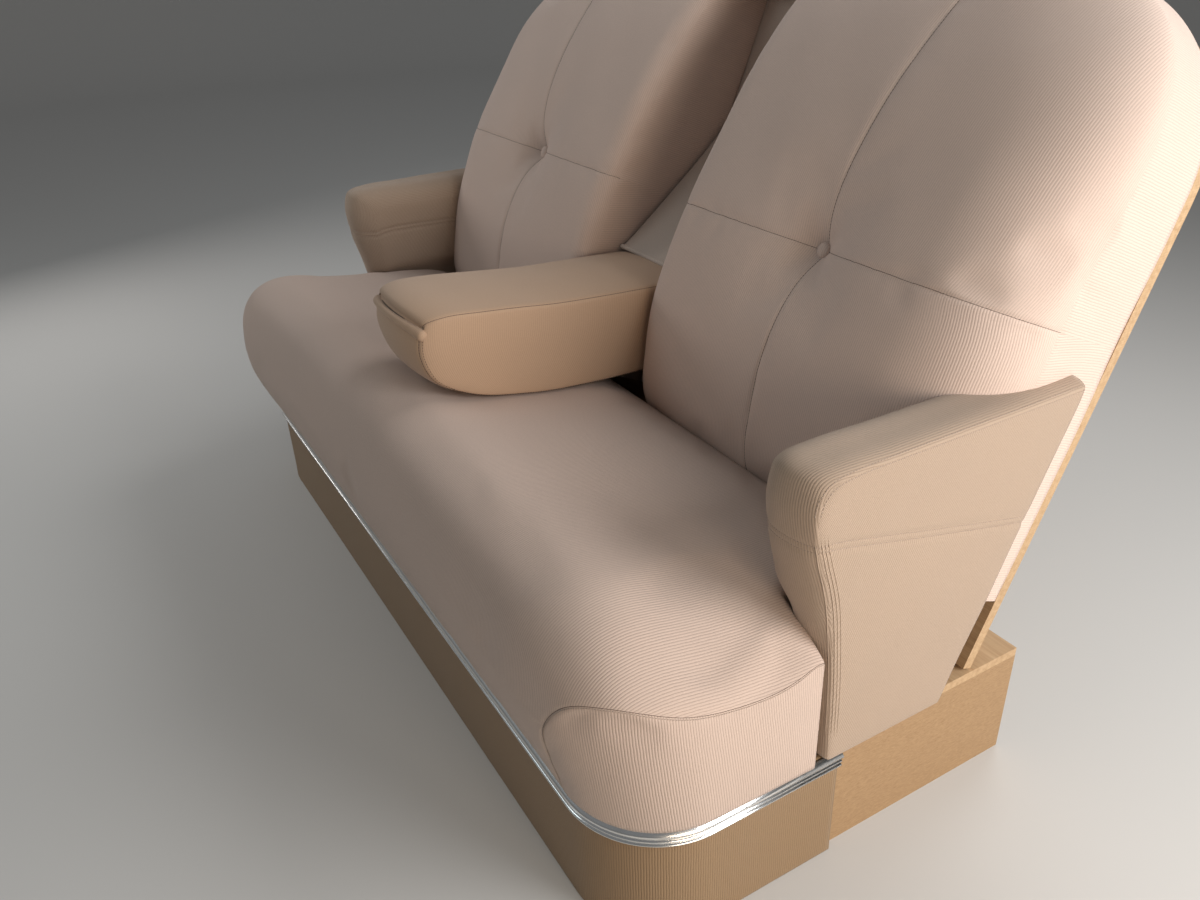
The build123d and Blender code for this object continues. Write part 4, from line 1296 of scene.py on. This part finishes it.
def make_riser():
    """Cloth of the riser, with faint waves between its foot and its moulding."""
    shares = np.linspace(0, 1, 260)
    outer = at_shares(riser_path(0.0), shares)
    inner = at_shares(riser_path(-riser_thickness), shares)
    run = lengths_along(outer)
    wave = 0.35 * np.sin(run / 61) + 0.25 * np.sin(run / 23 + 1)
    normal = normals_beside(outer)
    rows = []
    for height, out in riser_rows:
        fade = min(1.0, height / 40) * (height < 150)
        rows.append(np.column_stack([outer + normal * (out + wave * fade)[:, None], 0 * run + height]))
    rows += [np.column_stack([inner, 0 * run + height]) for height in (riser_height, 0.0)]
    cover = Cover()
    cover.panel(np.array(rows + rows[:1]))
    riser = cover.build("riser_cover", finishes["riser_cloth"])
    close_holes(riser.data)
    ride(riser, "root", "seat_riser", slot="riser_cloth")


def make_moulding():
    """Three beads, the top one widest, with grooves between them."""
    height = moulding_high[2] - moulding_low[2]
    depth = moulding_high[0] - riser_half_width
    groove = 0.2 * depth
    profile = [(0.0, 0.0), (groove, 0.0)]
    low = 0.0
    for share, reach in bead_shares:
        rise = share * height
        for down in np.linspace(0.96, 0.04, 15):
            out = groove + (reach * depth - groove) * sin(pi * down ** 1.4) ** 0.7
            profile.append((out, low + rise * (1 - down)))
        low += rise
        profile.append((groove, low))
    profile += [(0.0, height), (0.0, 0.0)]
    cover = Cover()
    cover.panel(np.array([
        np.column_stack([riser_path(out), np.full(2 * corner_steps + 2, moulding_low[2] + up)])
        for out, up in profile
    ]))
    moulding = cover.build("riser_moulding_beads", finishes["bright_moulding"])
    close_holes(moulding.data)
    ride(moulding, "root", "riser_moulding", slot="bright_moulding")


make_riser()
make_moulding()

# Buttons: radius and height of their rings, from the middle of the face to that of the rear
button_rings = np.array([
    (0.001, 5.2), (3, 5.0), (6, 4.2), (8.6, 3.0), (10.4, 1.3), (11.0, -0.8), (10.6, -2.5), (8.8, -3.5),
    (0.001, -3.5),
])


def make_button(side):
    """Covered button in the tuft of a back cushion."""
    name = side_name(side) + "_back_button"
    angles = np.linspace(0, 2 * pi, 33)
    radii, lifts = button_rings.T[..., None]
    base = back_depth(button_x, back_seam_up) + 4.0
    grid = on_back(
        side * (button_x + radii * np.cos(angles)), back_seam_up + radii * np.sin(angles), base + lifts,
    )
    cover = Cover()
    cover.panel(grid, turned=True)
    button = cover.build(name + "_cover", finishes["back_cloth"])
    layer = button.data.uv_layers["cloth"]
    for loop in button.data.loops:
        layer.data[loop.index].uv = button.data.vertices[loop.vertex_index].co.xz
    subdivide(button, closed=False)
    ride(button, "root", name, slot="back_cloth")


for button_side in (1, -1):
    make_button(button_side)


# Recess between the backs: lined board, padded header and a hanging cloth
def make_recess_panel():
    """Board of the recess, in cloth that is rounded at its edges and lies a little unevenly."""
    columns = 27
    x = np.linspace(-recess_half_width, recess_half_width, columns)
    x, up = np.meshgrid(x, np.linspace(back_bottom, back_top, 81))
    edge = np.minimum(recess_half_width - np.abs(x), np.minimum(up - back_bottom, back_top - up))
    out = 8.0 + 2.0 * (1 - np.exp(-edge / 9)) + 0.5 * np.sin(up / 47 + x / 31)
    face, rear = on_back(x, up, out), on_back(x, up, 0.2)
    cover = Cover()
    for grid in (face, rear):
        cover.panel(grid, start=columns // 2)
    for line in (np.s_[0], np.s_[-1], np.s_[:, 0], np.s_[:, -1]):
        cover.panel(np.stack([face[line], rear[line]]))
    panel = cover.build("recess_panel_cover", finishes["recess_cloth"])
    ride(panel, "root", "recess_panel", slot="recess_cloth")


header_low = back_top - 50.0
# Height over the header's lower edge and depth, round its section
header_profile = [
    (0, 10), (-1, 40), (-1, 74), (2, 93), (10, 102), (22, 98), (34, 82), (44, 56), (50, 30), (50, 10),
]
header_middle = np.array([header_low + 24, 10.0])
# Rounded ends: distance out and share of the section's size, down to a point on the board
header_round = 4.0
header_ends = np.array([(0.4, 0.985), (0.8, 0.94), (1.0, 0.86), (1.0, 0.45), (1.0, 0.0)])


def make_recess_header():
    """Padded roll over the recess, thick at its lower edge and thin at the top."""
    profile = smooth_curve([(header_low + up, out) for up, out in header_profile])
    line = at_shares(profile, graded(lengths_along(profile)[-1], 7, False, False))
    span = recess_half_width - header_round
    end_x = span + header_round * header_ends[:, 0]
    x = np.concatenate([-end_x[::-1], span * (2 * graded(2 * span, 8) - 1), end_x])
    share = np.ones(len(x))
    share[:len(end_x)], share[-len(end_x):] = header_ends[::-1, 1], header_ends[:, 1]
    section = header_middle + share[None, :, None] * (line[:, None] - header_middle)
    cover = Cover()
    cover.panel(on_back(x[None], section[..., 0], section[..., 1]), start=len(x) // 2)
    header = cover.build("recess_header_cover", finishes["back_cloth"])
    subdivide(header)
    ride(header, "root", "recess_header", slot="back_cloth", fill=0.8)


# The hanging cloth: y and z of its middle, from its rolled lower edge to its top
apron_line = smooth_curve([
    (191.5, 524.5), (207, 535), (229, 552), (270, 584), (312, 617), (351, 649), (392, 688), (409, 705),
])
apron_half_width = 94.0
apron_thickness = 2.2
apron_fold_up = 100.0
apron_fold_out = 11.5


def make_apron():
    """Cloth that hangs from the recess panel to the armrest, sagging and folded a little."""
    line = at_shares(apron_line, graded(lengths_along(apron_line)[-1], 7, False, False))
    across = np.linspace(-1, 1, 31)[None]
    run = lengths_along(line)[:, None]
    share = run / run[-1]
    folds = 1.1 * np.sin(across * 5.1 + run / 60) * np.sin(pi * share)
    low = 5.0 * (1 - across ** 2) * np.sin(pi * share) ** 0.7 + folds
    normal = normals_beside(line)
    grid = np.stack([
        apron_half_width * across * (1 - share * 0.02),
        line[:, 0:1] + normal[:, 0:1] * low,
        line[:, 1:2] + normal[:, 1:2] * low,
    ], axis=-1)
    cover = Cover()
    cover.panel(grid, start=across.size // 2)
    apron = cover.build("recess_apron_cloth", finishes["recess_cloth"])
    subdivide(apron, closed=False)
    solid = apron.modifiers.new("thickness", "SOLIDIFY")
    solid.thickness = apron_thickness * mm
    solid.offset = 0.0

    hem_line = grid[0] + (0, *normal[0]) + (0, -1.5, 2.5)
    hem = tube("recess_apron_hem", hem_line, 4.6, finishes["recess_cloth"], flatten=0.8)
    ride(hem, "root", "recess_apron", slot="recess_cloth")
    ride(apron, "root", "recess_apron", slot="recess_cloth")
    anchor = tuple(on_back(0.0, apron_fold_up, apron_fold_out) * mm)
    for piece in (apron, hem):
        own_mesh(piece)


make_recess_panel()
make_recess_header()
make_apron()

# Stage, in metres
floor_radius, wall_curve, wall_top = 6.5, 2.0, 2.1
floor_sides = 96


def make_floor():
    """Round floor that curves up into a wall far behind everything."""
    turns = np.linspace(0, pi / 2, 13)
    rise = [(floor_radius + wall_curve * sin(turn), wall_curve * (1 - cos(turn))) for turn in turns]
    profile = [(0.01, 0.0), *rise, (floor_radius + wall_curve, wall_top)]
    points = [
        (radius * cos(turn), radius * sin(turn), height)
        for radius, height in profile for turn in 2 * pi * np.arange(floor_sides) / floor_sides
    ]
    faces = [tuple(range(floor_sides))]
    for first in range(0, len(points) - floor_sides, floor_sides):
        for i in range(floor_sides):
            left, right = first + i, first + (i + 1) % floor_sides
            faces.append((left, right, right + floor_sides, left + floor_sides))
    mesh = bpy.data.meshes.new("floor")
    mesh.from_pydata(points, [], faces)
    for face in mesh.polygons:
        face.use_smooth = True
    floor = bpy.data.objects.new("floor", mesh)
    bpy.context.scene.collection.objects.link(floor)
    finish = Finish("floor", roughness=0.9)
    finish.set("Base Color", (0.60, 0.59, 0.57))
    mesh.materials.append(finish.material)


# Each light's place, the point that it faces, size in metres, watts and colour
lights = {
    "door_low": ((2.3, -0.3, 0.7), (0.1, -0.1, 0.4), 0.9, 13.5, (1.0, 0.84, 0.67)),
    "door_high": ((2.1, 0.85, 1.2), (0.1, -0.1, 0.4), 1.4, 38.8, (1.0, 1.0, 1.0)),
    "over_back": ((0.0, 1.3, 2.0), (0.0, -0.1, 0.4), 1.0, 12.7, (1.0, 1.0, 1.0)),
    "far_door": ((-2.2, -0.9, 1.2), (0.1, 0.0, 0.5), 0.9, 9.7, (1.0, 0.97, 0.95)),
    "front_high": ((-1.1, -1.9, 2.1), (-0.1, 0.1, 0.6), 1.2, 6.5, (0.82, 0.95, 1.0)),
}
sky_colour = (0.96, 0.98, 1.0, 1)
sky_strength = 0.17


def make_lights():
    """Round soft lights, strongest from the open door at the seat's left end, and a weak sky."""
    for name, (place, target, size, power, colour) in lights.items():
        data = bpy.data.lights.new(name, "AREA")
        data.shape = "DISK"
        data.size = size
        data.energy = power
        data.color = colour
        light = bpy.data.objects.new(name, data)
        light.location = place
        light.rotation_euler = (Vector(target) - Vector(place)).to_track_quat("-Z", "Y").to_euler()
        bpy.context.scene.collection.objects.link(light)
    world = bpy.data.worlds.new("world")
    world.use_nodes = True
    background = world.node_tree.nodes["Background"]
    background.inputs["Color"].default_value = sky_colour
    background.inputs["Strength"].default_value = sky_strength
    bpy.context.scene.world = world
    bpy.context.scene.view_settings.view_transform = "Standard"


make_floor()
make_lights()
